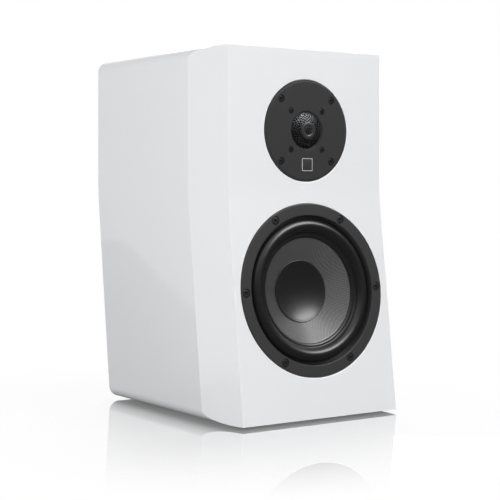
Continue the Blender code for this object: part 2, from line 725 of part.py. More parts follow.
def woofer_cone():
    """A straight cone from the neck on the former to its edge, with a rim under the surround."""
    rim = CONE_EDGE_RADIUS + CONE_RIM_WIDTH
    roll_foot = SURROUND_ROLL_CENTRE - SURROUND_ROLL_RADIUS + SURROUND_THICKNESS
    roll_rise = CONE_EDGE_DEPTH - SURROUND_SEAT_DEPTH
    rim_rise = roll_rise * CONE_RIM_WIDTH / (roll_foot - CONE_EDGE_RADIUS)
    profile = [(rim, rim_rise - CONE_EDGE_DEPTH),
               (rim, rim_rise - CONE_EDGE_DEPTH - CONE_THICKNESS),
               (CONE_EDGE_RADIUS, -CONE_EDGE_DEPTH - CONE_THICKNESS),
               (NECK_RADIUS, -NECK_DEPTH - CONE_THICKNESS),
               (NECK_RADIUS, -NECK_DEPTH),
               (CONE_EDGE_RADIUS, -CONE_EDGE_DEPTH)]
    return add_part("woofer_cone", turned_mesh("woofer_cone", profile, FACETS_LARGE), WOVEN_FIBRE,
                    WOOFER)


def dust_cap():
    """A concave cap whose rim rests on the cone."""
    rim = GLUE_GAP + CAP_THICKNESS - CAP_DEPTH
    shares = [0.0, 0.35, 0.65, 0.85, 1.0]
    top = [(CAP_RADIUS * share, rim - CAP_SAG * (1 - share ** 2)) for share in shares]
    under = [(radius, height - CAP_THICKNESS) for radius, height in reversed(top)]
    return add_part("woofer_dust_cap", turned_mesh("woofer_dust_cap", top + under, FACETS_MEDIUM),
                    CAP_SATIN, WOOFER)


def voice_coil():
    """A former with its winding, in the gap between the pole and the top plate."""
    winding = FORMER_RADIUS + WINDING_THICKNESS
    top = FORMER_ABOVE_NECK - NECK_DEPTH
    bottom = -WINDING_TOP_DEPTH - WINDING_LENGTH
    profile = [(FORMER_RADIUS, top),
               (FORMER_RADIUS, -WINDING_TOP_DEPTH),
               (winding, -WINDING_TOP_DEPTH),
               (winding, bottom),
               (FORMER_INNER_RADIUS, bottom),
               (FORMER_INNER_RADIUS, top)]
    return add_part("woofer_voice_coil", turned_mesh("woofer_voice_coil", profile, FACETS_MEDIUM),
                    COPPER, WOOFER)


def woofer_spider():
    """A corrugated cloth ring that centres the voice coil."""
    base = GLUE_GAP - SPIDER_SEAT_DEPTH
    land = BASKET_FOOT_RADIUS - SPIDER_SEAT_WIDTH
    pitch = (land - NECK_RADIUS) / (2 * SPIDER_WAVES + 1)
    top = [(BASKET_FOOT_RADIUS - GLUE_GAP, base + SPIDER_THICKNESS)]
    under = [(BASKET_FOOT_RADIUS - GLUE_GAP, base)]
    for index in range(2 * SPIDER_WAVES + 2):
        rise = SPIDER_WAVE_HEIGHT * (index % 2)
        under.append((land - pitch * index, base + rise))
        top.append((land - pitch * index, base + rise + SPIDER_THICKNESS))
    mesh = turned_mesh("woofer_spider", [top[0]] + under + top[:0:-1], FACETS_MEDIUM)
    return add_part("woofer_spider", mesh, YELLOW_CLOTH, WOOFER)


def ring_part(name, outer, bore, top, thickness, finish, parent, steps=FACETS_MEDIUM):
    """A plain turned ring, from its top down."""
    profile = [(outer, top), (outer, top - thickness), (bore, top - thickness), (bore, top)]
    return add_part(name, turned_mesh(name, profile, steps), finish, parent)


def yoke_part(name, radius, pole, vent, plate_top, thickness, pole_top, finish, parent):
    """A back plate and its vented pole in one piece."""
    profile = [(pole, pole_top),
               (pole, plate_top),
               (radius, plate_top),
               (radius, plate_top - thickness),
               (vent, plate_top - thickness),
               (vent, pole_top)]
    return add_part(name, turned_mesh(name, profile, FACETS_MEDIUM), finish, parent)


def woofer():
    basket = woofer_basket()
    woofer_surround()
    woofer_cone()
    dust_cap()
    voice_coil()
    woofer_spider()
    plate_top = -TOP_PLATE_DEPTH
    magnet_top = plate_top - TOP_PLATE_THICKNESS - GLUE_GAP
    yoke_top = magnet_top - MAGNET_THICKNESS - GLUE_GAP
    ring_part("woofer_top_plate", TOP_PLATE_RADIUS, TOP_PLATE_BORE, plate_top, TOP_PLATE_THICKNESS,
              STEEL, WOOFER)
    ring_part("woofer_magnet", MAGNET_RADIUS, MAGNET_BORE, magnet_top, MAGNET_THICKNESS, FERRITE,
              WOOFER)
    yoke_part("woofer_yoke", YOKE_RADIUS, POLE_RADIUS, POLE_VENT_RADIUS, yoke_top, YOKE_THICKNESS,
              plate_top, STEEL, WOOFER)
    places = circle_places(WOOFER_SCREW_CIRCLE, WOOFER_SCREWS)
    holes = add_screws("woofer_screw", WOOFER_SCREW, places, WOOFER_FLANGE_PROUD, BLACK_STEEL,
                       WOOFER)
    combine(basket, holes)
    combine(baffle, holes)


woofer()


# %% Tweeter

def dome_guard():
    """A domed lattice from the bore of the faceplate to the ring in its middle."""
    outer = FACEPLATE_BORE - GLUE_GAP - GUARD_WIRE / 2
    inner = DIFFUSER_RADIUS + GLUE_GAP + GUARD_WIRE / 2
    sphere = (FACEPLATE_BORE ** 2 + GUARD_RISE ** 2) / (2 * GUARD_RISE)
    flat = GUARD_RISE - sphere
    profile = []
    for ring in range(GUARD_RINGS + 1):
        radius = outer + (inner - outer) * ring / GUARD_RINGS
        profile.append((radius, flat + math.sqrt(sphere ** 2 - radius ** 2) - GUARD_BASE_DEPTH))
    outline = bpy.data.meshes.new("tweeter_guard")
    edges = [(i, i + 1) for i in range(GUARD_RINGS)]
    outline.from_pydata([(radius, 0.0, height) for radius, height in profile], edges, [])
    guard = bpy.data.objects.new("tweeter_guard", outline)
    screw = guard.modifiers.new("turn", "SCREW")
    screw.steps = GUARD_SPOKES
    screw.render_steps = GUARD_SPOKES
    screw.use_merge_vertices = True
    screw.merge_threshold = 1e-6
    wires = guard.modifiers.new("wires", "WIREFRAME")
    wires.thickness = GUARD_WIRE
    wires.use_boundary = True
    mesh = evaluated_mesh(guard, "tweeter_guard")
    return add_part("tweeter_guard", mesh, GUARD_METAL, TWEETER), profile[-1][1]


def dome_diaphragm():
    """Dome, roll, land and voice-coil former of the tweeter, formed in one piece."""
    base = TWEETER_PLATE_TOP + DOME_TRAVEL + GLUE_GAP
    sphere = (DOME_RADIUS ** 2 + DOME_RISE ** 2) / (2 * DOME_RISE)
    top_height = base + DOME_THICKNESS
    roll_centre = DOME_RADIUS + ROLL_RADIUS
    land = roll_centre + ROLL_RADIUS
    former = DOME_RADIUS - DOME_FORMER_THICKNESS
    top = []
    for share in (0.0, 0.5, 0.8, 1.0):
        radius = DOME_RADIUS * share
        top.append((radius, top_height + DOME_RISE - sphere + math.sqrt(sphere ** 2 - radius ** 2)))
    under = [(radius * former / DOME_RADIUS, height - DOME_THICKNESS)
             for radius, height in reversed(top)]
    profile = top[:-1] + arc((roll_centre, top_height), ROLL_RADIUS, 180, 0, DOME_ROLL_STEPS)
    profile += [(land + DOME_LAND_WIDTH, top_height), (land + DOME_LAND_WIDTH, base)]
    profile += arc((roll_centre, base), ROLL_RADIUS - DOME_THICKNESS, 0, 180, DOME_ROLL_STEPS)
    profile += [(DOME_RADIUS, base), (DOME_RADIUS, base - DOME_FORMER_LENGTH),
                (former, base - DOME_FORMER_LENGTH)]
    profile += under
    mesh = turned_mesh("tweeter_dome", profile, FACETS_MEDIUM)
    return add_part("tweeter_dome", mesh, DOME_METAL, TWEETER)


def tweeter():
    faceplate = ring_part("tweeter_faceplate", FACEPLATE_RADIUS, FACEPLATE_BORE, FACEPLATE_PROUD,
                          FACEPLATE_THICKNESS, MATTE_GREY, TWEETER, FACETS_LARGE)
    guard, guard_top = dome_guard()
    ring_part("tweeter_diffuser", DIFFUSER_RADIUS, DIFFUSER_BORE, guard_top + DIFFUSER_THICKNESS / 2,
              DIFFUSER_THICKNESS, GUARD_METAL, TWEETER)
    dome_diaphragm()
    plate = ring_part("tweeter_top_plate", TWEETER_PLATE_RADIUS, TWEETER_PLATE_BORE,
                      TWEETER_PLATE_TOP, TWEETER_PLATE_THICKNESS, STEEL, TWEETER)
    magnet_top = TWEETER_PLATE_TOP - TWEETER_PLATE_THICKNESS - GLUE_GAP
    yoke_top = magnet_top - TWEETER_MAGNET_THICKNESS - GLUE_GAP
    ring_part("tweeter_magnet", TWEETER_MAGNET_RADIUS, TWEETER_MAGNET_BORE, magnet_top,
              TWEETER_MAGNET_THICKNESS, FERRITE, TWEETER)
    yoke_part("tweeter_yoke", TWEETER_MAGNET_RADIUS, TWEETER_POLE_RADIUS, TWEETER_VENT_RADIUS,
              yoke_top, TWEETER_YOKE_THICKNESS, TWEETER_PLATE_TOP, STEEL, TWEETER)
    can_top = yoke_top - TWEETER_YOKE_THICKNESS - GLUE_GAP
    can_floor = can_top - CHAMBER_LENGTH
    can_profile = [(0.0, can_floor + CHAMBER_WALL),
                   (CHAMBER_RADIUS - CHAMBER_WALL, can_floor + CHAMBER_WALL),
                   (CHAMBER_RADIUS - CHAMBER_WALL, can_top),
                   (CHAMBER_RADIUS, can_top),
                   (CHAMBER_RADIUS, can_floor),
                   (0.0, can_floor)]
    can = turned_mesh("tweeter_rear_chamber", can_profile, FACETS_MEDIUM)
    add_part("tweeter_rear_chamber", can, BLACK_PLASTIC, TWEETER)
    outer = circle_places(FACEPLATE_SCREW_CIRCLE, 4, math.pi / 4)
    inner = circle_places(MOTOR_SCREW_CIRCLE, 4, math.pi / 4)
    outer_holes = add_screws("faceplate_screw", FACEPLATE_SCREW, outer, FACEPLATE_PROUD,
                             BLACK_STEEL, TWEETER)
    inner_holes = add_screws("motor_screw", MOTOR_SCREW, inner, FACEPLATE_PROUD, BLACK_STEEL,
                             TWEETER)
    combine(faceplate, outer_holes)
    combine(baffle, outer_holes)
    combine(faceplate, inner_holes)
    combine(plate, inner_holes)


tweeter()


# %% Reflex port

def port_tube():
    """A flared tube whose flange sits in a rebate of the rear panel."""
    bore = []
    for step in range(FLARE_STEPS):
        angle = math.pi / 2 * step / FLARE_STEPS
        flare = (PORT_TAIL_RADIUS - PORT_RADIUS) * (1 - math.sin(angle))
        bore.append((PORT_RADIUS + flare, PORT_TAIL_LENGTH * (1 - math.cos(angle)) - PORT_LENGTH))
    bore.append((PORT_RADIUS, PORT_TAIL_LENGTH - PORT_LENGTH))
    for step in range(FLARE_STEPS + 1):
        angle = math.pi / 2 * step / FLARE_STEPS
        flare = (PORT_MOUTH_RADIUS - PORT_RADIUS) * (1 - math.cos(angle))
        bore.append((PORT_RADIUS + flare, -PORT_MOUTH_LENGTH * (1 - math.sin(angle))))
    skin = [(radius + PORT_WALL, height) for radius, height in reversed(bore[:-1])]
    neck = PORT_MOUTH_RADIUS + PORT_WALL
    outside = [(PORT_FLANGE_RADIUS, 0.0),
               (PORT_FLANGE_RADIUS, -PORT_FLANGE_THICKNESS),
               (neck, -PORT_FLANGE_THICKNESS)]
    outside += skin
    mesh = turned_mesh("port_tube", outside + bore, FACETS_MEDIUM)
    add_part("port_tube", mesh, BLACK_PLASTIC, PORT)
    rebate = PORT_FLANGE_THICKNESS + GLUE_GAP
    hole = [(0.0, CUTTER_MARGIN),
            (PORT_FLANGE_RADIUS + FIT, CUTTER_MARGIN),
            (PORT_FLANGE_RADIUS + FIT, -rebate),
            (neck + FIT, -rebate),
            (neck + FIT, -WALL - CUTTER_MARGIN),
            (0.0, -WALL - CUTTER_MARGIN)]
    combine(rear_panel, add_cutter("port_hole", turned_mesh("port_hole", hole, FACETS_MEDIUM), PORT))


port_tube()


# %% Terminals

def terminal_plate():
    """A plate over a cut-out in the rear panel, with its four screws."""
    half_x = TERMINAL_PLATE_WIDTH / 2
    half_y = TERMINAL_PLATE_HEIGHT / 2
    mesh = rounded_box_mesh("terminal_plate", (-half_x, -half_y, GLUE_GAP),
                            (half_x, half_y, TERMINAL_PLATE_TOP), 2, TERMINAL_PLATE_CORNER,
                            CORNER_STEPS)
    plate = add_part("terminal_plate", mesh, BLACK_PLASTIC, TERMINAL)
    x = half_x - TERMINAL_SCREW_INSET
    y = half_y - TERMINAL_SCREW_INSET
    places = [(x, y, 0.0), (-x, y, 0.0), (-x, -y, 0.0), (x, -y, 0.0)]
    holes = add_screws("terminal_screw", TERMINAL_SCREW, places, TERMINAL_PLATE_TOP, BLACK_STEEL,
                       TERMINAL)
    combine(plate, holes)
    combine(rear_panel, holes)
    cut_x = half_x - TERMINAL_CUTOUT_MARGIN
    cut_y = half_y - TERMINAL_CUTOUT_MARGIN
    deep = -WALL - FELT_THICKNESS - CUTTER_MARGIN
    cutout = closed_mesh("terminal_cutout",
                         box_bmesh((-cut_x, -cut_y, deep), (cut_x, cut_y, CUTTER_MARGIN)))
    cutter = add_cutter("terminal_cutout", cutout, TERMINAL)
    combine(rear_panel, cutter)
    combine(felt, cutter)
    return plate


def post_stud_mesh():
    """A stud with a head under the plate, a plug socket in its end and a cross hole for wire."""
    socket_floor = STUD_REACH - SOCKET_BORE_DEPTH
    profile = [(0.0, socket_floor),
               (SOCKET_BORE_RADIUS, socket_floor),
               (SOCKET_BORE_RADIUS, STUD_REACH),
               (STUD_RADIUS, STUD_REACH),
               (STUD_RADIUS, 0.0),
               (STUD_HEAD_RADIUS, 0.0),
               (STUD_HEAD_RADIUS, -STUD_HEAD_THICKNESS),
               (STUD_RADIUS, -STUD_HEAD_THICKNESS),
               (STUD_RADIUS, -STUD_TAIL),
               (0.0, -STUD_TAIL)]
    stud = bpy.data.objects.new("post_stud", turned_mesh("post_stud", profile, FACETS_SMALL))
    bm = bmesh.new()
    bmesh.ops.create_cone(bm, cap_ends=True, segments=FACETS_SCREW, radius1=WIRE_HOLE_RADIUS,
                          radius2=WIRE_HOLE_RADIUS, depth=2 * STUD_HEAD_RADIUS,
                          matrix=Matrix.Translation((0.0, 0.0, WASHER_LOW + WIRE_HOLE_RADIUS))
                          @ Matrix.Rotation(math.pi / 2, 4, "Y"))
    combine(stud, add_cutter("wire_hole", closed_mesh("wire_hole", bm), None))
    return evaluated_mesh(stud, "post_stud")


def cap_nut_mesh():
    """A fluted nut with a running bore for the stud and an opening for a plug."""
    points = []
    for index in range(2 * CAP_NUT_FLUTES):
        angle = math.pi * index / CAP_NUT_FLUTES
        radius = CAP_NUT_RADIUS - CAP_NUT_FLUTE_DEPTH * (index % 2)
        points.append((radius * math.cos(angle), radius * math.sin(angle)))
    nut = bpy.data.objects.new("cap_nut", outline_mesh("cap_nut", points, 0.0, CAP_NUT_LENGTH))
    bore = [(0.0, CAP_NUT_LENGTH + CUTTER_MARGIN),
            (SOCKET_BORE_RADIUS, CAP_NUT_LENGTH + CUTTER_MARGIN),
            (SOCKET_BORE_RADIUS, CAP_NUT_LENGTH - CAP_NUT_LIP),
            (STUD_RADIUS + FIT, CAP_NUT_LENGTH - CAP_NUT_LIP),
            (STUD_RADIUS + FIT, -CUTTER_MARGIN),
            (0.0, -CUTTER_MARGIN)]
    combine(nut, add_cutter("cap_nut_bore", turned_mesh("cap_nut_bore", bore, FACETS_SMALL), None))
    return evaluated_mesh(nut, "cap_nut")


def binding_posts(plate):
    """Two posts: the stud and the collar are fixed, the washer slides and the cap nut turns."""
    stud_mesh = post_stud_mesh()
    nut_mesh = cap_nut_mesh()
    for name, side in (("left", -1), ("right", 1)):
        axis = make_empty(f"{name}_post_axis", (side * POST_SPACING / 2, 0.0, 0.0), parent=TERMINAL)
        add_part(f"{name}_post_stud", stud_mesh, GOLD, axis)
        ring_part(f"{name}_post_collar", COLLAR_RADIUS, STUD_RADIUS + FIT,
                  COLLAR_LOW + COLLAR_THICKNESS, COLLAR_THICKNESS, BLACK_PLASTIC, axis)
        ring_part(f"{name}_post_washer", WASHER_RADIUS, STUD_RADIUS + FIT,
                  WASHER_LOW + WASHER_THICKNESS, WASHER_THICKNESS, GOLD, axis)
        add_part(f"{name}_post_cap", nut_mesh, GOLD, axis, (0.0, 0.0, NUT_LOW))
        hole = [(0.0, CUTTER_MARGIN),
                (STUD_RADIUS + FIT, CUTTER_MARGIN),
                (STUD_RADIUS + FIT, -CUTTER_MARGIN),
                (0.0, -CUTTER_MARGIN)]
        hole_mesh = turned_mesh(f"{name}_post_hole", hole, FACETS_SMALL)
        combine(plate, add_cutter(f"{name}_post_hole", hole_mesh, axis))


binding_posts(terminal_plate())


# %% Crossover

def crossover():
    """A board on standoffs over the bottom panel, with a coil and a capacitor."""
    front = REAR_PANEL_FRONT - LEAN_RUN - FELT_THICKNESS - BOARD_REAR_ROOM - BOARD_DEPTH
    low = WALL + GLUE_GAP + BOARD_STANDOFF
    high = low + BOARD_THICKNESS
    half_x = BOARD_WIDTH / 2
    mesh = closed_mesh("crossover_board", box_bmesh((-half_x, front, low),
                                                    (half_x, front + BOARD_DEPTH, high)))
    board = add_part("crossover_board", mesh, BOARD_GREEN, CABINET)
    leg_x = half_x - BOARD_STANDOFF_INSET
    leg_front = front + BOARD_STANDOFF_INSET
    leg_rear = front + BOARD_DEPTH - BOARD_STANDOFF_INSET
    leg = [(0.0, low + BOARD_THICKNESS / 2),
           (BOARD_STANDOFF_RADIUS, low + BOARD_THICKNESS / 2),
           (BOARD_STANDOFF_RADIUS, WALL + GLUE_GAP),
           (0.0, WALL + GLUE_GAP)]
    places = [(x, y, 0.0) for x in (-leg_x, leg_x) for y in (leg_front, leg_rear)]
    legs = ring_of_copies("board_legs", turned_mesh("board_leg", leg, FACETS_SMALL), places)
    combine(board, add_cutter("board_legs", legs, CABINET), "UNION")
    middle = front + BOARD_DEPTH / 2
    top = GLUE_GAP + COIL_HEIGHT
    wire = COIL_RADIUS - COIL_FLANGE
    bobbin = [(COIL_RADIUS, top),
              (COIL_RADIUS, top - COIL_FLANGE),
              (wire, top - COIL_FLANGE),
              (wire, GLUE_GAP + COIL_FLANGE),
              (COIL_RADIUS, GLUE_GAP + COIL_FLANGE),
              (COIL_RADIUS, GLUE_GAP),
              (COIL_BORE, GLUE_GAP),
              (COIL_BORE, top)]
    add_part("crossover_coil", turned_mesh("crossover_coil", bobbin, FACETS_MEDIUM), COPPER, CABINET,
             (COIL_OFFSET_X, middle, high))
    half = CAPACITOR_LENGTH / 2
    can = [(0.0, half),
           (CAPACITOR_RADIUS - CAPACITOR_BEVEL, half),
           (CAPACITOR_RADIUS, half - CAPACITOR_BEVEL),
           (CAPACITOR_RADIUS, CAPACITOR_BEVEL - half),
           (CAPACITOR_RADIUS - CAPACITOR_BEVEL, -half),
           (0.0, -half)]
    capacitor = add_part("crossover_capacitor",
                         turned_mesh("crossover_capacitor", can, FACETS_SMALL), BLACK_PLASTIC,
                         CABINET, (-CAPACITOR_OFFSET_X, middle, high + CAPACITOR_RADIUS + GLUE_GAP))
    capacitor.rotation_euler = (math.pi / 2, 0.0, 0.0)


crossover()
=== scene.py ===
# %% [markdown]
# # A bookshelf loudspeaker
# A two-way loudspeaker in a bent, gloss-white cabinet: a tweeter behind a lattice guard above, a
# woofer with a woven cone below, a reflex port and two binding posts at the back.
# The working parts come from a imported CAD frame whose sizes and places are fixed. This file gives
# them their looks: finer pieces stand in for the plain ones, and every piece gets its own finish.

# %% Load the fixed frame
import math
import random

import bmesh
import bpy
from mathutils import Matrix, Vector
from mathutils.geometry import delaunay_2d_cdt


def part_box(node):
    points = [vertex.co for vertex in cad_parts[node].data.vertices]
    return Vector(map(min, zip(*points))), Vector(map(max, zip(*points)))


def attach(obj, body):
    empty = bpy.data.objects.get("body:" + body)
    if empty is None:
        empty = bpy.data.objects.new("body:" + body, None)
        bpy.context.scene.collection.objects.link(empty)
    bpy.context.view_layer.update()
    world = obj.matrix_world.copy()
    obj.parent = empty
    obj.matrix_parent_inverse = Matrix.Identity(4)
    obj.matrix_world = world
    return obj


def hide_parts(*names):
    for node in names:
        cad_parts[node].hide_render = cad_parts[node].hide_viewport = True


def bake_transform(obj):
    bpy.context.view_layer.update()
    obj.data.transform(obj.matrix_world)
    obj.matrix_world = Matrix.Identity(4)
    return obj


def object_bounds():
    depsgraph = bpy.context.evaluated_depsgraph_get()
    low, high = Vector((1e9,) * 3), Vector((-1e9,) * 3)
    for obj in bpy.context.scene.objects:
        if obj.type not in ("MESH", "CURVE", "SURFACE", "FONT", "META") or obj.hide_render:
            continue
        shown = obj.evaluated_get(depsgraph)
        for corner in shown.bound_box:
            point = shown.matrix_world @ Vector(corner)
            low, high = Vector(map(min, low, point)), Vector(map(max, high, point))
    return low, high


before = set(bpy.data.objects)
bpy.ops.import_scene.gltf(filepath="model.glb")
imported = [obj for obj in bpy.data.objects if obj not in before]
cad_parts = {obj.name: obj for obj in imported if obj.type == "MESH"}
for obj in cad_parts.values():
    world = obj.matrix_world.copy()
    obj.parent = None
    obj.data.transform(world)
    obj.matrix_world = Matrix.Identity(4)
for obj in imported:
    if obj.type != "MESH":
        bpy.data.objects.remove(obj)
cad_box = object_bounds()
print("CAD box", [round(v, 4) for corner in cad_box for v in corner])

# %% [markdown]
# ## Where things are
# The cabinet stands on four rubber feet. Its upper half is upright and its lower half leans
# forward, so the woofer looks slightly upwards. Each round fitting is made on its own flat
# drawing plane, with Z pointing out of the cabinet, and a matrix then puts it in its place.

# %% Sizes of the cabinet
LEAN_ANGLE = math.radians(6.9)
CABINET_WIDTH = 0.220
CABINET_HEIGHT = 0.377
CABINET_DEPTH = 0.2503
BEND_HEIGHT = 0.2296
BEND_RADIUS = 0.170
BEND_TOP = BEND_HEIGHT + BEND_RADIUS * math.tan(LEAN_ANGLE / 2)
LEAN_RUN = BEND_HEIGHT * math.tan(LEAN_ANGLE)

CABINET_BOTTOM = cad_box[1].z - CABINET_HEIGHT
FRONT_Y = (LEAN_RUN - CABINET_DEPTH) / 2
BEND_LOW = BEND_TOP - BEND_RADIUS * math.sin(LEAN_ANGLE)
print("bend from", round(BEND_LOW, 4), "to", round(BEND_TOP, 4))


# %% [markdown]
# A fitting's place is a matrix: a turn about the upright axis for the back, a tilt that lays its
# drawing plane on the wall, and a move to its centre. The wall's own place depends on the height,
# because the lower half leans.

# %% Frames of the fittings
def fitting_place(x, y, height, tilt, half_turn):
    """The matrix that carries a drawing plane to a wall of the cabinet."""
    spin = Matrix.Rotation(half_turn, 4, "Z")
    return Matrix.Translation((x, y, height)) @ spin @ Matrix.Rotation(tilt, 4, "X")


def shift_at(height):
    """How far the leaning cabinet has moved along Y at a height above its bottom."""
    if height >= BEND_TOP:
        return 0.0
    if height <= BEND_LOW:
        return (height - BEND_HEIGHT) * math.tan(LEAN_ANGLE)
    return BEND_RADIUS * (math.cos(math.asin((BEND_TOP - height) / BEND_RADIUS)) - 1)


UPRIGHT = math.pi / 2
woofer_height = 0.1296
tweeter_height = CABINET_HEIGHT - 0.0835
port_height = CABINET_HEIGHT - 0.0760
terminal_height = 0.0620
WOOFER = fitting_place(0, FRONT_Y + shift_at(woofer_height), CABINET_BOTTOM + woofer_height,
                       UPRIGHT - LEAN_ANGLE, 0)
TWEETER = fitting_place(0, FRONT_Y, CABINET_BOTTOM + tweeter_height, UPRIGHT, 0)
PORT = fitting_place(0, FRONT_Y + CABINET_DEPTH, CABINET_BOTTOM + port_height, UPRIGHT, math.pi)
TERMINAL = fitting_place(0, FRONT_Y + CABINET_DEPTH + shift_at(terminal_height),
                         CABINET_BOTTOM + terminal_height, UPRIGHT + LEAN_ANGLE, math.pi)
print("woofer centre", [round(v, 4) for v in WOOFER.translation])

# %% [markdown]
# ## Turned shapes
# Most fittings of a loudspeaker are round: rings, cones, flanges. On the real thing they are
# turned, spun or moulded round an axis. Here a half outline is spun the same way. A real edge is
# never perfectly sharp, and the small round on it is what catches the light, so each corner of an
# outline can carry its own radius. Building the rings directly keeps every facet where it is
# wanted, which a bevel modifier on a finished lathe shape doesn't.

# %% Outline with rounded corners
def rounded_outline(corners, steps=4):
    """A closed outline from (radius, height, corner radius) triples."""
    points = []
    count = len(corners)
    for index, (x, y, corner_radius) in enumerate(corners):
        here = Vector((x, y))
        if corner_radius <= 0:
            points.append((x, y))
            continue
        before = (Vector(corners[index - 1][:2]) - here).normalized()
        after = (Vector(corners[(index + 1) % count][:2]) - here).normalized()
        half = before.angle(after) / 2
        run = corner_radius / math.tan(half)
        centre = here + (before + after).normalized() * (corner_radius / math.sin(half))
        start = here + before * run - centre
        sweep = start.angle_signed(here + after * run - centre)
        for step in range(steps + 1):
            spoke = start.copy()
            spoke.rotate(Matrix.Rotation(-sweep * step / steps, 2))
            points.append(tuple(centre + spoke))
    return points


def arc_points(centre, radius, first, last, steps):
    """Points on an arc, its angles in degrees."""
    points = []
    for step in range(steps + 1):
        angle = math.radians(first + (last - first) * step / steps)
        points.append((centre[0] + radius * math.cos(angle), centre[1] + radius * math.sin(angle)))
    return points


# %% [markdown]
# Rings of points are then joined by faces into one closed skin. The cabinet, the screws and the
# fluted nuts are made in the same way, only with rings that aren't round. Edges sharper than a
# limit stay sharp, and the rest are shaded smooth.

# %% Rings of points made into a closed mesh
def smooth_up_to(mesh, degrees):
    """Shade a mesh smooth and keep the edges that turn by more than an angle sharp."""
    mesh.shade_smooth()
    mesh.set_sharp_from_angle(angle=math.radians(degrees))


def mesh_from_rings(name, rings, loop=True, sharp=32):
    """Skin rings that all have the same number of points; with loop the last meets the first."""
    count = len(rings[0])
    vertices = [tuple(point) for ring in rings for point in ring]
    pairs = [(i, i + 1) for i in range(len(rings) - 1)]
    if loop:
        pairs.append((len(rings) - 1, 0))
    faces = []
    too_close = 1e-7
    for low, high in pairs:
        for i in range(count):
            j = (i + 1) % count
            faces.append((low * count + i, low * count + j, high * count + j, high * count + i))
    if not loop:
        faces.append(tuple(range(count - 1, -1, -1)))
        faces.append(tuple(range((len(rings) - 1) * count, len(rings) * count)))
    mesh = bpy.data.meshes.new(name)
    mesh.from_pydata(vertices, [], faces)
    bm = bmesh.new()
    bm.from_mesh(mesh)
    bmesh.ops.remove_doubles(bm, verts=bm.verts, dist=too_close)
    bmesh.ops.dissolve_degenerate(bm, edges=bm.edges, dist=too_close)
    bmesh.ops.recalc_face_normals(bm, faces=bm.faces)
    bm.to_mesh(mesh)
    bm.free()
    smooth_up_to(mesh, sharp)
    return mesh


def turned_mesh(name, outline, facets=128, sharp=32):
    """Spin a closed half outline round Z."""
    rings = []
    for radius, height in outline:
        ring = []
        for i in range(facets):
            angle = 2 * math.pi * i / facets
            ring.append((radius * math.cos(angle), radius * math.sin(angle), height))
        rings.append(ring)
    return mesh_from_rings(name, rings, True, sharp)


# %% [markdown]
# ## Pieces
# Each finished mesh becomes a piece: it gets its finish, it rides on a body of the frame, and it
# can stand for the CAD nodes that it replaces.

# %% Putting a piece in the scene
def scene_object(name, data):
    """An object in the scene for a mesh, a lamp or a camera."""
    made = bpy.data.objects.new(name, data)
    bpy.context.scene.collection.objects.link(made)
    return made


def add_piece(name, mesh, finish, place, body, stands_for=()):
    """A new piece with its finish, on its CAD body, in place of CAD nodes."""
    piece = scene_object(name, mesh)
    piece.matrix_world = place
    if not mesh.materials:
        mesh.materials.append(finish)
    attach(piece, body)
    if stands_for:
        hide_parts(*stands_for)
    print(f"{name}: {len(mesh.polygons)} faces")
    return piece


def keep_faces_flat(piece, weight=50):
    """Let the large faces of a piece decide its normals, so that they look flat."""
    steady = piece.modifiers.new("flat_faces_stay_flat", "WEIGHTED_NORMAL")
    steady.keep_sharp = True
    steady.weight = weight


# %% [markdown]
# Holes and windows are cut with a Boolean, as a router or a mill cuts them on the real thing.
# Modifiers work on a passing object. Its finished mesh is kept and the object is removed. Tools
# that repeat round a circle are joined first, so that one cut makes them all.

# %% Cutting and copying
def applied_mesh(blank, name):
    """The mesh of an object after its modifiers; the object itself is removed."""
    bpy.context.view_layer.update()
    mesh = bpy.data.meshes.new_from_object(
        blank.evaluated_get(bpy.context.evaluated_depsgraph_get()))
    mesh.name = name
    bpy.data.objects.remove(blank)
    return mesh


def carve(mesh, cutters, name):
    """Cut tool meshes out of a mesh and give the finished mesh back."""
    block = scene_object(name, mesh)
    tools = []
    for cutter in cutters:
        tool = scene_object(name + "_tool", cutter)
        tools.append(tool)
        cut = block.modifiers.new("cut", "BOOLEAN")
        cut.solver = "EXACT"
        cut.operation = "DIFFERENCE"
        cut.object = tool
    finished = applied_mesh(block, name)
    for tool in tools:
        bpy.data.objects.remove(tool)
    return finished


def copies_of(mesh, places, name):
    """One mesh with a copy of another at each matrix."""
    bm = bmesh.new()
    for place in places:
        copy = mesh.copy()
        copy.transform(place)
        bm.from_mesh(copy)
        bpy.data.meshes.remove(copy)
    joined = bpy.data.meshes.new(name)
    bm.to_mesh(joined)
    bm.free()
    return joined


def circle_places(radius, count, first=0.0, height=0.0):
    """Matrices at equal steps round a circle."""
    places = []
    for i in range(count):
        angle = first + 2 * math.pi * i / count
        spot = (radius * math.cos(angle), radius * math.sin(angle), height)
        places.append(Matrix.Translation(spot) @ Matrix.Rotation(angle, 4, "Z"))
    return places


# %% [markdown]
# ## Shared effects for the finishes
# A finish is more than a colour. Paint has a faint ripple, cast metal has a fine pebble, turned
# metal has rings, and everything has small changes of tone and a little dust on top. Each effect
# is a node group with named inputs and outputs, so many materials use it with their own values.

# %% Node helpers
def new_group(name, inputs, outputs):
    """An empty shader node group with named sockets."""
    group = bpy.data.node_groups.new(name, "ShaderNodeTree")
    for socket, kind, value in inputs:
        made = group.interface.new_socket(name=socket, in_out="INPUT", socket_type=kind)
        if value is not None:
            made.default_value = value
    for socket, kind in outputs:
        group.interface.new_socket(name=socket, in_out="OUTPUT", socket_type=kind)
    print("effect:", name)
    return group, group.nodes.new("NodeGroupInput"), group.nodes.new("NodeGroupOutput")


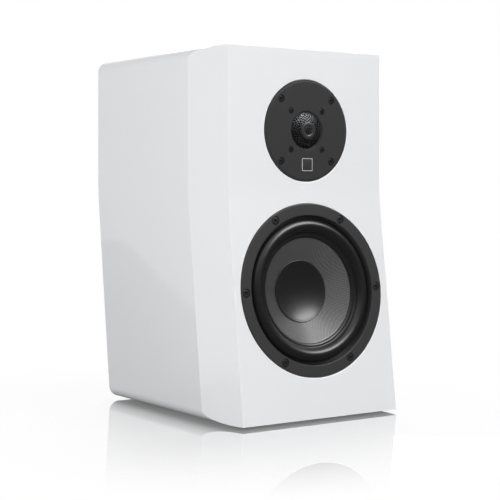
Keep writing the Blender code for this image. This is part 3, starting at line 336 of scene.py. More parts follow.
def node(tree, kind, settings=None, **inputs):
    """A node with settings, and inputs that are either values or sockets to link from."""
    made = tree.nodes.new(kind)
    for key, value in (settings or {}).items():
        setattr(made, key, value)
    for key, value in inputs.items():
        wanted = key[1:] if key[1:].isdigit() else key.replace("_", " ")
        socket = made.inputs[int(wanted)] if wanted.isdigit() else made.inputs[wanted]
        if isinstance(value, bpy.types.NodeSocket):
            tree.links.new(value, socket)
        else:
            socket.default_value = value
    return made


def maths(tree, operation, first, second=0.0, third=0.0):
    """The output of one step of arithmetic."""
    made = node(tree, "ShaderNodeMath", {"operation": operation}, i0=first, i1=second, i2=third)
    return made.outputs[0]


FLOAT = "NodeSocketFloat"
COLOUR = "NodeSocketColor"
VECTOR = "NodeSocketVector"

# %% [markdown]
# ### Tone and dust
# No moulded or painted surface is one flat colour. This effect moves the tone and the gloss up
# and down in soft patches, and lets a little pale dust settle where the surface looks upwards.

# %% Tone and dust group
tone_group, into, out = new_group(
    "tone_and_dust",
    [("Vector", VECTOR, None), ("Colour", COLOUR, (0.5, 0.5, 0.5, 1)), ("Roughness", FLOAT, 0.4),
     ("Patch Scale", FLOAT, 30.0), ("Tone Change", FLOAT, 0.05), ("Gloss Change", FLOAT, 0.05),
     ("Dust", FLOAT, 0.1)],
    [("Colour", COLOUR), ("Roughness", FLOAT)])
patches = node(tone_group, "ShaderNodeTexNoise", Vector=into.outputs["Vector"],
               Scale=into.outputs["Patch Scale"], Detail=4.0, Roughness=0.6)
centred = maths(tone_group, "SUBTRACT", patches.outputs[0], 0.5)
brighter = maths(tone_group, "MULTIPLY_ADD", centred, into.outputs["Tone Change"], 1.0)
toned = node(tone_group, "ShaderNodeVectorMath", {"operation": "SCALE"},
             i0=into.outputs["Colour"], Scale=brighter)
specks = node(tone_group, "ShaderNodeTexNoise", Vector=into.outputs["Vector"], Scale=900.0,
              Detail=2.0)
upward = node(tone_group, "ShaderNodeSeparateXYZ",
              Vector=node(tone_group, "ShaderNodeNewGeometry").outputs["Normal"])
facing_up = maths(tone_group, "MULTIPLY", maths(tone_group, "MAXIMUM", upward.outputs[2], 0.0),
                  specks.outputs[0])
dust_mask = maths(tone_group, "MULTIPLY", facing_up, into.outputs["Dust"])
dusty = node(tone_group, "ShaderNodeMix", {"data_type": "RGBA"}, i0=dust_mask,
             i6=toned.outputs[0], i7=(0.52, 0.50, 0.47, 1))
gloss = maths(tone_group, "MULTIPLY_ADD", centred, into.outputs["Gloss Change"],
              into.outputs["Roughness"])
rougher = maths(tone_group, "ADD", gloss, maths(tone_group, "MULTIPLY", dust_mask, 0.4))
tone_group.links.new(dusty.outputs[2], out.inputs["Colour"])
tone_group.links.new(rougher, out.inputs["Roughness"])

# %% [markdown]
# ### Pebble and ripple
# Powder coat, die casting and moulded plastic all have a fine pebbled skin; lacquer has the same
# thing far finer and softer, which painters call orange peel. One noise at two sizes does both.

# %% Pebble group
pebble_group, into, out = new_group(
    "pebbled_skin",
    [("Vector", VECTOR, None), ("Pebbles Per Metre", FLOAT, 1500.0), ("Coarse Share", FLOAT, 0.3)],
    [("Height", FLOAT)])
fine = node(pebble_group, "ShaderNodeTexNoise", Vector=into.outputs["Vector"],
            Scale=into.outputs["Pebbles Per Metre"], Detail=3.0, Roughness=0.55)
coarse_scale = maths(pebble_group, "MULTIPLY", into.outputs["Pebbles Per Metre"], 0.16)
coarse = node(pebble_group, "ShaderNodeTexNoise", Vector=into.outputs["Vector"],
              Scale=coarse_scale, Detail=1.0)
blend = node(pebble_group, "ShaderNodeMix", {"data_type": "FLOAT"},
             i0=into.outputs["Coarse Share"], i2=fine.outputs[0], i3=coarse.outputs[0])
pebble_group.links.new(blend.outputs[0], out.inputs["Height"])

# %% [markdown]
# ### Turned rings
# A lathe leaves fine rings round the axis. The ring lines are a noise that is stretched so far
# round the axis that it only changes with the distance from it.

# %% Turned rings group
ring_group, into, out = new_group(
    "turned_rings",
    [("Vector", VECTOR, None), ("Rings Per Metre", FLOAT, 2500.0)],
    [("Height", FLOAT)])
split = node(ring_group, "ShaderNodeSeparateXYZ", Vector=into.outputs["Vector"])
squares = [maths(ring_group, "MULTIPLY", split.outputs[i], split.outputs[i]) for i in (0, 1)]
from_axis = maths(ring_group, "SQRT", maths(ring_group, "ADD", *squares))
ring_vector = node(ring_group, "ShaderNodeCombineXYZ", X=from_axis, Z=split.outputs[2])
rings = node(ring_group, "ShaderNodeTexNoise", Vector=ring_vector.outputs[0],
             Scale=into.outputs["Rings Per Metre"], Detail=2.0)
ring_group.links.new(rings.outputs[0], out.inputs["Height"])

# %% [markdown]
# ### Woven threads
# A plain weave is two sets of threads that pass over and under each other. Sine waves along both
# directions give the threads their round backs, and a checker decides which one is on top. The
# same cloth serves the cone, with its flat bright fibres, and the coarse spider.

# %% Woven threads group
WANDER = 0.002
weave_group, into, out = new_group(
    "woven_threads",
    [("Vector", VECTOR, None), ("Threads Per Metre", FLOAT, 900.0), ("Unevenness", FLOAT, 0.1)],
    [("Height", FLOAT), ("Warp On Top", FLOAT), ("Gap", FLOAT)])
wobble = node(weave_group, "ShaderNodeTexNoise", Vector=into.outputs["Vector"], Scale=60.0,
              Detail=1.0)
pushed = node(weave_group, "ShaderNodeVectorMath", {"operation": "MULTIPLY_ADD"},
              i0=wobble.outputs["Color"], i1=(WANDER, WANDER, WANDER), i2=into.outputs["Vector"])
counted = node(weave_group, "ShaderNodeVectorMath", {"operation": "SCALE"},
               i0=pushed.outputs[0], Scale=into.outputs["Threads Per Metre"])
axes = node(weave_group, "ShaderNodeSeparateXYZ", Vector=counted.outputs[0])
backs = []
for index in (0, 1):
    turn = maths(weave_group, "MULTIPLY", axes.outputs[index], math.pi)
    backs.append(maths(weave_group, "ABSOLUTE", maths(weave_group, "SINE", turn)))
checker = node(weave_group, "ShaderNodeTexChecker", Vector=counted.outputs[0], Scale=1.0)
on_top = checker.outputs[1]
height = node(weave_group, "ShaderNodeMix", {"data_type": "FLOAT"}, i0=on_top, i2=backs[0],
              i3=backs[1])
uneven = maths(weave_group, "MULTIPLY", wobble.outputs[0], into.outputs["Unevenness"])
gap = maths(weave_group, "SUBTRACT", 1.0, maths(weave_group, "MAXIMUM", backs[0], backs[1]))
weave_group.links.new(maths(weave_group, "ADD", height.outputs[0], uneven), out.inputs["Height"])
weave_group.links.new(on_top, out.inputs["Warp On Top"])
weave_group.links.new(gap, out.inputs["Gap"])

# %% [markdown]
# ### Pressed fibres
# Fibreboard and felt are mats of short fibres. A noise stretched in two directions at once makes
# crossing streaks, and a second noise breaks them up.

# %% Pressed fibres group
fibre_group, into, out = new_group(
    "pressed_fibres",
    [("Vector", VECTOR, None), ("Fibres Per Metre", FLOAT, 700.0)],
    [("Height", FLOAT)])
streaks = []
for stretch in ((1.0, 0.18, 0.4), (0.18, 1.0, 0.4)):
    pulled = node(fibre_group, "ShaderNodeVectorMath", {"operation": "MULTIPLY"},
                  i0=into.outputs["Vector"], i1=stretch)
    streaks.append(node(fibre_group, "ShaderNodeTexNoise", Vector=pulled.outputs[0],
                        Scale=into.outputs["Fibres Per Metre"], Detail=3.0).outputs[0])
both = maths(fibre_group, "MAXIMUM", streaks[0], streaks[1])
fibre_group.links.new(both, out.inputs["Height"])
print("effects:", [group.name for group in bpy.data.node_groups])


# %% [markdown]
# ## Finishes
# Each finish starts from a tone with its own soft patches and dust, and then takes the relief
# that its making leaves: ripple, pebbles, rings, threads or fibres. Colours are written as
# display values from 0 to 255 and turned into the linear values that the shader wants.

# %% A finish with its tone and relief
def linear(red, green, blue):
    """Display values from 0 to 255 as a linear colour."""
    values = []
    for part in (red, green, blue):
        share = part / 255
        values.append(share / 12.92 if share <= 0.04045 else ((share + 0.055) / 1.055) ** 2.4)
    return (*values, 1.0)


def placed_group(tree, group, **inputs):
    """A shared effect in a material, with its inputs by name."""
    return node(tree, "ShaderNodeGroup", {"node_tree": group}, **inputs)


def new_finish(name, colour, roughness, patch_scale=30.0, tone_change=0.06, gloss_change=0.08,
               dust=0.08, **shader):
    """A material with colour and gloss from the tone group; the rest is set on the shader."""
    material = bpy.data.materials.new(name)
    material.use_nodes = True
    tree = material.node_tree
    surface = tree.nodes["Principled BSDF"]
    for key, value in shader.items():
        surface.inputs[key.replace("_", " ")].default_value = value
    place = tree.nodes.new("ShaderNodeTexCoord").outputs["Object"]
    tone = placed_group(tree, tone_group, Vector=place, Colour=linear(*colour),
                        Roughness=roughness, Patch_Scale=patch_scale, Tone_Change=tone_change,
                        Gloss_Change=gloss_change, Dust=dust)
    tree.links.new(tone.outputs["Colour"], surface.inputs["Base Color"])
    tree.links.new(tone.outputs["Roughness"], surface.inputs["Roughness"])
    print("finish:", name)
    return material


def add_relief(material, group, distance, strength, **inputs):
    """Feed the height of a shared effect, in metres for its full step, into the normal."""
    tree = material.node_tree
    place = tree.nodes["Texture Coordinate"].outputs["Object"]
    effect = placed_group(tree, group, Vector=place, **inputs)
    bump = node(tree, "ShaderNodeBump", Height=effect.outputs["Height"], Distance=distance,
                Strength=strength)
    tree.links.new(bump.outputs[0], tree.nodes["Principled BSDF"].inputs["Normal"])
    return effect


# %% [markdown]
# ### Cabinet lacquer
# White lacquer over fibreboard, polished to a gloss. The clear top layer is a coat on the shader,
# so it mirrors the room sharply while the white under it stays soft.

# %% Cabinet lacquer
lacquer = new_finish(
    "gloss_white_lacquer", (232, 233, 235), 0.30, patch_scale=9.0, tone_change=0.02,
    gloss_change=0.08, dust=0.05, Coat_Weight=0.6, Coat_Roughness=0.04)
add_relief(lacquer, pebble_group, 0.00002, 0.35, Pebbles_Per_Metre=260.0, Coarse_Share=0.4)

# %% [markdown]
# ### Edge highlight of the lacquer
# The long edges and the lips of the two driver openings take a whiter lacquer with a glossier
# coat. The whiter colour is a painted highlight: it draws thin light lines round the shapes.

# %% Edge highlight of the lacquer
highlight_lacquer = new_finish(
    "edge_lacquer_painted_highlight", (252, 252, 253), 0.22, patch_scale=9.0, tone_change=0.01,
    gloss_change=0.06, dust=0.0, Coat_Weight=1.0, Coat_Roughness=0.10)
add_relief(highlight_lacquer, pebble_group, 0.00001, 0.2, Pebbles_Per_Metre=260.0, Coarse_Share=0.4)

# %% [markdown]
# ### Cast and pressed metal
# The woofer's frame is die-cast and powder-coated a satin near-black. The tweeter's plate is a
# flatter, slightly lighter grey with a dry, even grain.

# %% Cast and pressed metal
cast_black = new_finish(
    "satin_cast_black", (53, 53, 54), 0.38, patch_scale=40.0, dust=0.06, Metallic=0.0,
    Specular_IOR_Level=0.6)
add_relief(cast_black, pebble_group, 0.00006, 0.5, Pebbles_Per_Metre=1800.0, Coarse_Share=0.2)

plate_grey = new_finish(
    "matte_plate_grey", (48, 48, 49), 0.54, patch_scale=60.0, tone_change=0.10, dust=0.06)
add_relief(plate_grey, pebble_group, 0.00008, 0.7, Pebbles_Per_Metre=2400.0, Coarse_Share=0.1)

# %% [markdown]
# ### Rubber
# The surround is butyl rubber: soft black with a broad, greasy sheen. The feet are the same
# family but drier. A very fine pebble breaks the highlight up.

# %% Rubber
surround_rubber = new_finish(
    "surround_rubber", (20, 20, 21), 0.29, patch_scale=70.0, tone_change=0.12, gloss_change=0.10,
    dust=0.03, Specular_IOR_Level=1.0)
add_relief(surround_rubber, pebble_group, 0.00005, 0.35, Pebbles_Per_Metre=1400.0,
           Coarse_Share=0.3)

foot_rubber = new_finish(
    "foot_rubber", (30, 30, 31), 0.68, patch_scale=200.0, tone_change=0.2, dust=0.1)
add_relief(foot_rubber, pebble_group, 0.00010, 0.6, Pebbles_Per_Metre=2200.0, Coarse_Share=0.3)

# %% [markdown]
# ### Woven cone
# The cone is pressed from a cloth of flat fibres in a clear resin. Threads one way are a little
# lighter than the others, the gaps are dark resin, and the resin gives a satin sheen.

# %% Woven cone
woven_cone = new_finish(
    "woven_fibre_cone", (119, 119, 120), 0.32, patch_scale=45.0, tone_change=0.16, dust=0.05,
    Metallic=0.5, Coat_Weight=0.5, Coat_Roughness=0.30)
cloth = add_relief(woven_cone, weave_group, 0.00012, 0.6, Threads_Per_Metre=820.0,
                   Unevenness=0.2)
tree = woven_cone.node_tree
cone_colour = tree.nodes["Principled BSDF"].inputs["Base Color"]
thread_tone = node(tree, "ShaderNodeMix", {"data_type": "RGBA", "blend_type": "MULTIPLY"},
                   i0=1.0, i6=cone_colour.links[0].from_socket)
thread_share = node(tree, "ShaderNodeMix", {"data_type": "RGBA"}, i0=cloth.outputs["Warp On Top"],
                    i6=(0.74, 0.74, 0.74, 1), i7=(1.18, 1.18, 1.18, 1))
tree.links.new(thread_share.outputs[2], thread_tone.inputs[7])
resin = node(tree, "ShaderNodeMix", {"data_type": "RGBA"}, i6=thread_tone.outputs[2],
             i7=linear(34, 34, 36))
tree.links.new(cloth.outputs["Gap"], resin.inputs[0])
tree.links.new(resin.outputs[2], cone_colour)

# %% [markdown]
# ### Cap, spider and coils
# The dust cap is moulded in satin black. The spider is a coarse resin-stiffened cloth. Voice coil
# and crossover coil are wound from enamelled copper: their turns are fine rings on the axis.

# %% Cap, spider and coils
cap_satin = new_finish(
    "satin_cap", (21, 21, 22), 0.30, patch_scale=90.0, tone_change=0.08, gloss_change=0.06,
    dust=0.03, Specular_IOR_Level=1.0, Coat_Weight=0.6, Coat_Roughness=0.26)
add_relief(cap_satin, pebble_group, 0.00003, 0.4, Pebbles_Per_Metre=1600.0, Coarse_Share=0.2)

spider_cloth = new_finish(
    "spider_cloth", (176, 136, 62), 0.75, patch_scale=80.0, tone_change=0.2, dust=0.0)
add_relief(spider_cloth, weave_group, 0.00015, 0.8, Threads_Per_Metre=1100.0, Unevenness=0.4)

copper = new_finish(
    "enamelled_copper", (184, 104, 62), 0.28, patch_scale=120.0, dust=0.0, Metallic=1.0)
add_relief(copper, ring_group, 0.00010, 0.8, Rings_Per_Metre=1400.0)

# %% [markdown]
# ### Motor metals
# Zinc-plated steel for the plates, black steel for the screws, ceramic ferrite for the magnets,
# and gold-plated brass for what a cable touches.

# %% Motor metals
plated_steel = new_finish(
    "zinc_plated_steel", (176, 178, 176), 0.34, patch_scale=60.0, tone_change=0.15, dust=0.0,
    Metallic=1.0)
add_relief(plated_steel, ring_group, 0.00003, 0.5, Rings_Per_Metre=1800.0)

black_steel = new_finish(
    "black_steel", (58, 58, 60), 0.40, patch_scale=300.0, tone_change=0.2, dust=0.03,
    Metallic=0.6)
add_relief(black_steel, pebble_group, 0.00004, 0.5, Pebbles_Per_Metre=3000.0, Coarse_Share=0.2)

ferrite = new_finish(
    "ceramic_ferrite", (52, 51, 52), 0.62, patch_scale=50.0, tone_change=0.25, dust=0.05)
add_relief(ferrite, pebble_group, 0.00012, 0.6, Pebbles_Per_Metre=700.0, Coarse_Share=0.5)

plated_brass = new_finish(
    "gold_plated_brass", (222, 178, 96), 0.20, patch_scale=150.0, tone_change=0.06, dust=0.0,
    Metallic=1.0)
add_relief(plated_brass, ring_group, 0.00002, 0.4, Rings_Per_Metre=3200.0)

# %% [markdown]
# ### Tweeter metals
# The guard is anodised aluminium, grey and satin. The dome behind it is thin dark aluminium,
# whose colour is taken down to nearly black as painted shade for the hollow behind the guard, so
# the lattice stands out in front of it.

# %% Tweeter metals
guard_metal = new_finish(
    "anodised_guard", (112, 113, 115), 0.30, patch_scale=200.0, tone_change=0.10, dust=0.04,
    Metallic=1.0)
add_relief(guard_metal, pebble_group, 0.00002, 0.4, Pebbles_Per_Metre=3500.0, Coarse_Share=0.2)

# Nearly black: the dome's own dark colour, taken further down as painted shade behind the guard.
dome_metal_and_shade = new_finish(
    "dome_aluminium_and_shade", (22, 22, 23), 0.46, patch_scale=120.0, dust=0.0, Metallic=1.0)
add_relief(dome_metal_and_shade, ring_group, 0.00002, 0.4, Rings_Per_Metre=2600.0)

# %% [markdown]
# ### Ring and badge paint
# The ring in the middle of the guard is painted a dark satin grey. The badge's border is a thin
# line of light grey enamel.

# %% Ring and badge paint
ring_paint = new_finish(
    "satin_ring_paint", (48, 48, 49), 0.36, patch_scale=300.0, tone_change=0.08, dust=0.02,
    Specular_IOR_Level=0.9)
add_relief(ring_paint, pebble_group, 0.00002, 0.4, Pebbles_Per_Metre=3000.0, Coarse_Share=0.2)

light_enamel = new_finish(
    "light_grey_enamel", (172, 172, 173), 0.35, patch_scale=300.0, tone_change=0.06, dust=0.02)
add_relief(light_enamel, pebble_group, 0.00002, 0.3, Pebbles_Per_Metre=3000.0, Coarse_Share=0.2)

# %% [markdown]
# ### Plastics, board and fillings
# The port and the terminal plate are moulded in textured black plastic, and the posts have
# coloured collars. Inside are the fibreboard brace, grey felt and the crossover board.

# %% Plastics, board and fillings
black_plastic = new_finish(
    "moulded_black_plastic", (36, 36, 38), 0.46, patch_scale=50.0, tone_change=0.12, dust=0.06)
add_relief(black_plastic, pebble_group, 0.00010, 0.55, Pebbles_Per_Metre=1700.0, Coarse_Share=0.3)

red_plastic = new_finish(
    "moulded_red_plastic", (168, 30, 28), 0.40, patch_scale=120.0, tone_change=0.10, dust=0.04)
add_relief(red_plastic, pebble_group, 0.00006, 0.4, Pebbles_Per_Metre=1700.0, Coarse_Share=0.3)

fibreboard = new_finish(
    "fibreboard", (168, 132, 92), 0.82, patch_scale=25.0, tone_change=0.12, dust=0.0)
add_relief(fibreboard, fibre_group, 0.00015, 0.6, Fibres_Per_Metre=650.0)

felt = new_finish(
    "grey_felt", (118, 118, 116), 0.95, patch_scale=60.0, tone_change=0.35, dust=0.0)
add_relief(felt, fibre_group, 0.0009, 0.9, Fibres_Per_Metre=320.0)

board_green = new_finish(
    "circuit_board", (36, 84, 54), 0.40, patch_scale=90.0, tone_change=0.2, dust=0.03)
add_relief(board_green, weave_group, 0.00003, 0.4, Threads_Per_Metre=1600.0, Unevenness=0.1)
print("finishes:", len(bpy.data.materials))


# %% [markdown]
# ## The cabinet
# The real cabinet is made from panels that are glued, sanded and then sprayed, so no joint shows:
# the paint runs unbroken over it. So one closed shell stands for all six outer panels. It is
# built from level outlines, one above the other. Each is shifted forward by the lean at its
# height, and narrowed near the top and the bottom, where the long edges are rounded.

# %% Level outlines of the shell
HALF_WIDTH = CABINET_WIDTH / 2
EDGE_RADIUS = 0.011
CHAMFER_WIDTH = 0.0126
CHAMFER_DEPTH = 0.0548
WALL = 0.018
BAFFLE = 0.025
# Slot of the whiter lacquer that paints a highlight on the cabinet's edges.
HIGHLIGHT_SLOT = 1


def shell_heights():
    """Heights of the outlines: closely spaced in the rounded edges and in the bend."""
    heights = []
    for step in range(13):
        angle = math.pi / 2 * step / 12
        heights.append(EDGE_RADIUS * (1 - math.cos(angle)))
    for step in range(25):
        angle = LEAN_ANGLE * (1 - step / 24)
        heights.append(BEND_TOP - BEND_RADIUS * math.sin(angle))
    for step in range(13):
        angle = math.pi / 2 * step / 12
        heights.append(CABINET_HEIGHT - EDGE_RADIUS * (1 - math.sin(angle)))
    return heights


def half_width_at(height):
    """Half of the cabinet's width at a height."""
    near = min(height, CABINET_HEIGHT - height)
    if near >= EDGE_RADIUS:
        return HALF_WIDTH
    return HALF_WIDTH - EDGE_RADIUS + math.sqrt(EDGE_RADIUS ** 2 - (EDGE_RADIUS - near) ** 2)


def shell_ring(height):
    """Front edge, chamfers, sides and back of the cabinet at a height."""
    half = half_width_at(height)
    front_half = HALF_WIDTH - CHAMFER_WIDTH
    back = (half - front_half) * CHAMFER_DEPTH / CHAMFER_WIDTH
    outline = [(-front_half, 0), (front_half, 0), (half, back), (half, CABINET_DEPTH),
               (-half, CABINET_DEPTH), (-half, back)]
    y = FRONT_Y + shift_at(height)
    return [(x, y + depth, CABINET_BOTTOM + height) for x, depth in outline]


# %% [markdown]
# Sprayed edges are rubbed round by hand, so a bevel softens them. Only edges with a weight are
# bevelled: the long corner lines, and the front and rear edges at the top and the bottom. The
# narrow faces that it makes take the second material slot, the whiter lacquer that paints a
# highlight on them.

# %% Softened edges
def softened(mesh, name, width, segments):
    """Bevel the marked edges of a mesh."""
    blank = scene_object(name, mesh)
    bevel = blank.modifiers.new("bevel", "BEVEL")
    bevel.width = width
    bevel.segments = segments
    bevel.limit_method = "WEIGHT"
    bevel.material = HIGHLIGHT_SLOT
    return applied_mesh(blank, name)


def mark_shell_edges(mesh):
    """Weight the long corner lines, and the front and rear edges at the top and the bottom."""
    weights = mesh.attributes.new("bevel_weight_edge", "FLOAT", "EDGE")
    slack = 1e-5
    ends = (CABINET_BOTTOM + slack, CABINET_BOTTOM + CABINET_HEIGHT - slack)
    values = []
    for edge in mesh.edges:
        a, b = (mesh.vertices[i].co for i in edge.vertices)
        upright = abs(a.z - b.z) > 1e-6
        crosswise = abs(a.y - b.y) < 1e-6 and (max(a.z, b.z) < ends[0] or min(a.z, b.z) > ends[1])
        values.append(1.0 if upright or crosswise else 0.0)
    weights.data.foreach_set("value", values)


shell_mesh = mesh_from_rings("cabinet_shell", [shell_ring(h) for h in shell_heights()], False)
mark_shell_edges(shell_mesh)
shell_mesh.materials.append(lacquer)
shell_mesh.materials.append(highlight_lacquer)
shell_mesh = softened(shell_mesh, "cabinet_shell", 0.0009, 3)
print("shell faces", len(shell_mesh.polygons))

# %% [markdown]
# The inside is hollow, and the fittings sit in holes. Each hole is a turned tool with a wide
# shallow step for the flange and a narrower bore behind it, cut away with a Boolean. That keeps
# each opening exact, and the shadow line round each flange is the real gap.

# %% Tools for the hollow and the holes
RIM_ROUND = 0.0011
WOOFER_REBATE = 0.0894
TWEETER_REBATE = 0.0529


def hollow_ring(height):
    """The inside of the walls at a height."""
    y = FRONT_Y + shift_at(height)
    inner = HALF_WIDTH - WALL
    outline = [(-inner, BAFFLE), (inner, BAFFLE), (inner, CABINET_DEPTH - WALL),
               (-inner, CABINET_DEPTH - WALL)]
    return [(x, y + depth, CABINET_BOTTOM + height) for x, depth in outline]


def stepped_hole(name, place, flange, rebate, bore, deep, facets=128):
    """A tool for a rebate with a softened rim and the bore behind it."""
    rim = arc_points((flange + RIM_ROUND, -RIM_ROUND), RIM_ROUND, 90, 180, 4)
    outline = [(0, 0.006), (flange + RIM_ROUND, 0.006)] + rim
    outline += [(flange, -rebate), (bore, -rebate), (bore, -deep), (0, -deep)]
    tool = turned_mesh(name, outline, facets)
    tool.transform(place)
    return tool


def box_tool(name, place, low, high):
    """A box between two corners, as a tool."""
    bm = bmesh.new()
    bmesh.ops.create_cube(bm, size=1.0)
    for vertex in bm.verts:
        for axis in range(3):
            vertex.co[axis] = high[axis] if vertex.co[axis] > 0 else low[axis]
    tool = bpy.data.meshes.new(name)
    bm.to_mesh(tool)
    bm.free()
    tool.transform(place)
    return tool


# %% [markdown]
# The hollow keeps only the outlines near the bend, because its walls are straight elsewhere. All
# the tools are cut from the shell together, before the shell takes its finish.

# %% Hollow and holes
inside = [WALL] + [h for h in shell_heights() if 0.2 < h < 0.25] + [CABINET_HEIGHT - WALL]
tools = [mesh_from_rings("hollow", [hollow_ring(h) for h in inside], False),
         stepped_hole("woofer_hole", WOOFER, WOOFER_REBATE, 0.0047, 0.0789, 0.034, 144),
         stepped_hole("tweeter_hole", TWEETER, TWEETER_REBATE, 0.0045, 0.0400, 0.034),
         stepped_hole("port_hole", PORT, 0.0464, 0.0033, 0.0389, 0.030, 96),
         box_tool("terminal_hole", TERMINAL, (-0.029, -0.015, -0.036), (0.029, 0.015, 0.010))]
shell_mesh = carve(shell_mesh, tools, "cabinet_shell")
print("carved shell faces", len(shell_mesh.polygons))

# %% [markdown]
# The lips of the two driver openings get the painted highlight of the long edges. Their faces
# are found by where they lie, on the round rim of each rebate. The long faces of the front can
# have their middle there too, so only small faces count.

# %% Painted highlight on the lips and the finished shell
LARGEST_LIP_FACE = 4e-6
lips = 0
for face in shell_mesh.polygons:
    for place, flange in ((WOOFER, WOOFER_REBATE), (TWEETER, TWEETER_REBATE)):
        spot = place.inverted() @ face.center
        across = math.hypot(spot.x, spot.y) - flange
        beside = -0.0001 < across < RIM_ROUND and -RIM_ROUND < spot.z < 0.0001
        if beside and face.area < LARGEST_LIP_FACE:
            face.material_index = HIGHLIGHT_SLOT
            lips += 1
print("shell slots", [m.name for m in shell_mesh.materials], "lip faces", lips)
smooth_up_to(shell_mesh, 40)
cabinet_shell = add_piece("cabinet_shell", shell_mesh, lacquer, Matrix.Identity(4), "cabinet",
                          ("front_baffle", "left_side_panel", "right_side_panel", "top_panel",
                           "bottom_panel", "rear_panel"))
keep_faces_flat(cabinet_shell, 100)

# %% [markdown]
# ## Feet
# Four soft rubber feet, turned with a rounded lower edge and a shallow hollow underneath that
# works like a sucker on a smooth shelf.

# %% Feet
for corner in ("front_left", "front_right", "rear_left", "rear_right"):
    low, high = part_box("foot_" + corner)
    top = high.z
    radius = (high.x - low.x) / 2
    outline = rounded_outline([(0, 0, 0), (radius, 0, 0.0003), (radius - 0.0008, -top, 0.0008),
                               (radius - 0.0035, -top, 0.0003), (radius - 0.0042, 0.0006 - top, 0),
                               (0, 0.0006 - top, 0)])
    middle = Matrix.Translation(((low.x + high.x) / 2, (low.y + high.y) / 2, top))
    add_piece("rubber_foot_" + corner, turned_mesh("rubber_foot", outline, 48), foot_rubber,
              middle, "cabinet", ("foot_" + corner,))

# %% [markdown]
# ## Screws
# All the screws are countersunk machine screws with a hexagonal socket. The socket is modelled,
# because its dark hole is what shows from a distance. Rings of points change from a hexagon at
# the socket to a circle at the rim of the head, so the whole screw is one closed skin.

# %% Screws
def hexagon_radius(angle, across):
    """Distance from the centre to a hexagon's side."""
    return across / math.cos((angle + math.pi / 6) % (math.pi / 3) - math.pi / 6)


def screw_mesh(name, head, shank, length):
    """A socket screw with its head's top at zero."""
    socket = head * 0.44
    edge = min(0.0005, head * 0.14)
    rim = 0.0009
    steps = 48
    levels = [("hex", 0.02, -0.0019), ("hex", 1.0, -0.0016), ("hex", 1.0, -0.0002),
              ("hex", 1.14, 0.0), ("round", head - edge, 0.0),
              ("round", head - edge * 0.3, -edge * 0.3), ("round", head, -edge),
              ("round", head, -rim), ("round", shank, -rim - head + shank),
              ("round", shank, -length + 0.001), ("round", shank - 0.0006, -length),
              ("round", 0.0001, -length)]
    rings = []
    for shape, size, level in levels:
        ring = []
        for i in range(steps):
            angle = 2 * math.pi * i / steps
            radius = hexagon_radius(angle, socket) * size if shape == "hex" else size
            ring.append((radius * math.cos(angle), radius * math.sin(angle), level))
        rings.append(ring)
    return mesh_from_rings(name, rings, False, 35)


def set_of_screws(title, nodes, size, place, spots):
    """One screw for each CAD screw of a set, turned a little differently each time."""
    mesh = screw_mesh(title, *size)
    for index, spot in enumerate(spots, start=1):
        turned = Matrix.Rotation(index * 0.7, 4, "Z")
        add_piece(f"{title}_{index}", mesh, black_steel, place @ spot @ turned, "cabinet",
                  (f"{nodes}_{index}",))


def counterbore_tool(name, radius, top, flare, deep, facets):
    """The tool for a screw's counterbore: its rim opens by the flare up to the top."""
    above = 0.004
    outline = [(0, above), (radius + flare, above), (radius + flare, top),
               (radius + flare - 0.0002, top - 0.0002), (radius + 0.0001, top - 0.0007),
               (radius, top - 0.0007 - flare), (radius, -deep), (0, -deep)]
    return turned_mesh(name, outline, facets)


# %% [markdown]
# ## Woofer frame
# The frame is a casting: a broad flange with counterbored screw holes, a neck, slanting spokes
# and a floor for the motor. Its flange edges are softened in the casting, and they draw the thin
# light lines round the ring. It is turned first, then windows and counterbores are cut.

# %% Woofer frame
FLANGE_TOP = 0.0006
WOOFER_SCREW_CIRCLE = 0.083
basket_outline = rounded_outline([
    (0.0882, FLANGE_TOP, 0.0002), (0.0885, FLANGE_TOP - 0.0004, 0.0001),
    (0.0890, FLANGE_TOP - 0.0005, 0.0002), (0.0890, -0.0044, 0), (0.0785, -0.0044, 0),
    (0.0785, -0.0108, 0.001),
    (0.0576, -0.0456, 0.001), (0.0576, -0.0520, 0.0006), (0.0340, -0.0520, 0),
    (0.0340, -0.0490, 0),
    (0.0470, -0.0490, 0.0006), (0.0470, -0.0420, 0), (0.0540, -0.0420, 0), (0.0740, -0.0108, 0),
    (0.0740, -0.0072, 0), (0.0770, -0.0072, 0), (0.0770, FLANGE_TOP, 0.0008)])
basket_mesh = turned_mesh("woofer_frame", basket_outline, 144)
window = box_tool("window", Matrix.Identity(4), (0.047, -0.017, -0.038), (0.089, 0.017, -0.0148))
counterbore = counterbore_tool("counterbore", 0.0043, FLANGE_TOP, 0.0006, 0.0032, 40)
cuts = [copies_of(window, circle_places(0, 6, math.pi / 6), "windows"),
        copies_of(counterbore, circle_places(WOOFER_SCREW_CIRCLE, 6), "counterbores")]
basket_mesh = carve(basket_mesh, cuts, "woofer_frame")
basket_mesh.materials.clear()
smooth_up_to(basket_mesh, 32)
woofer_frame = add_piece("woofer_frame", basket_mesh, cast_black, WOOFER, "cabinet",
                         ("woofer_basket",))
keep_faces_flat(woofer_frame)
set_of_screws("woofer_bolt", "woofer_screw", (0.0039, 0.0020, 0.0190), WOOFER,
              circle_places(WOOFER_SCREW_CIRCLE, 6, 0, FLANGE_TOP - 0.0009))
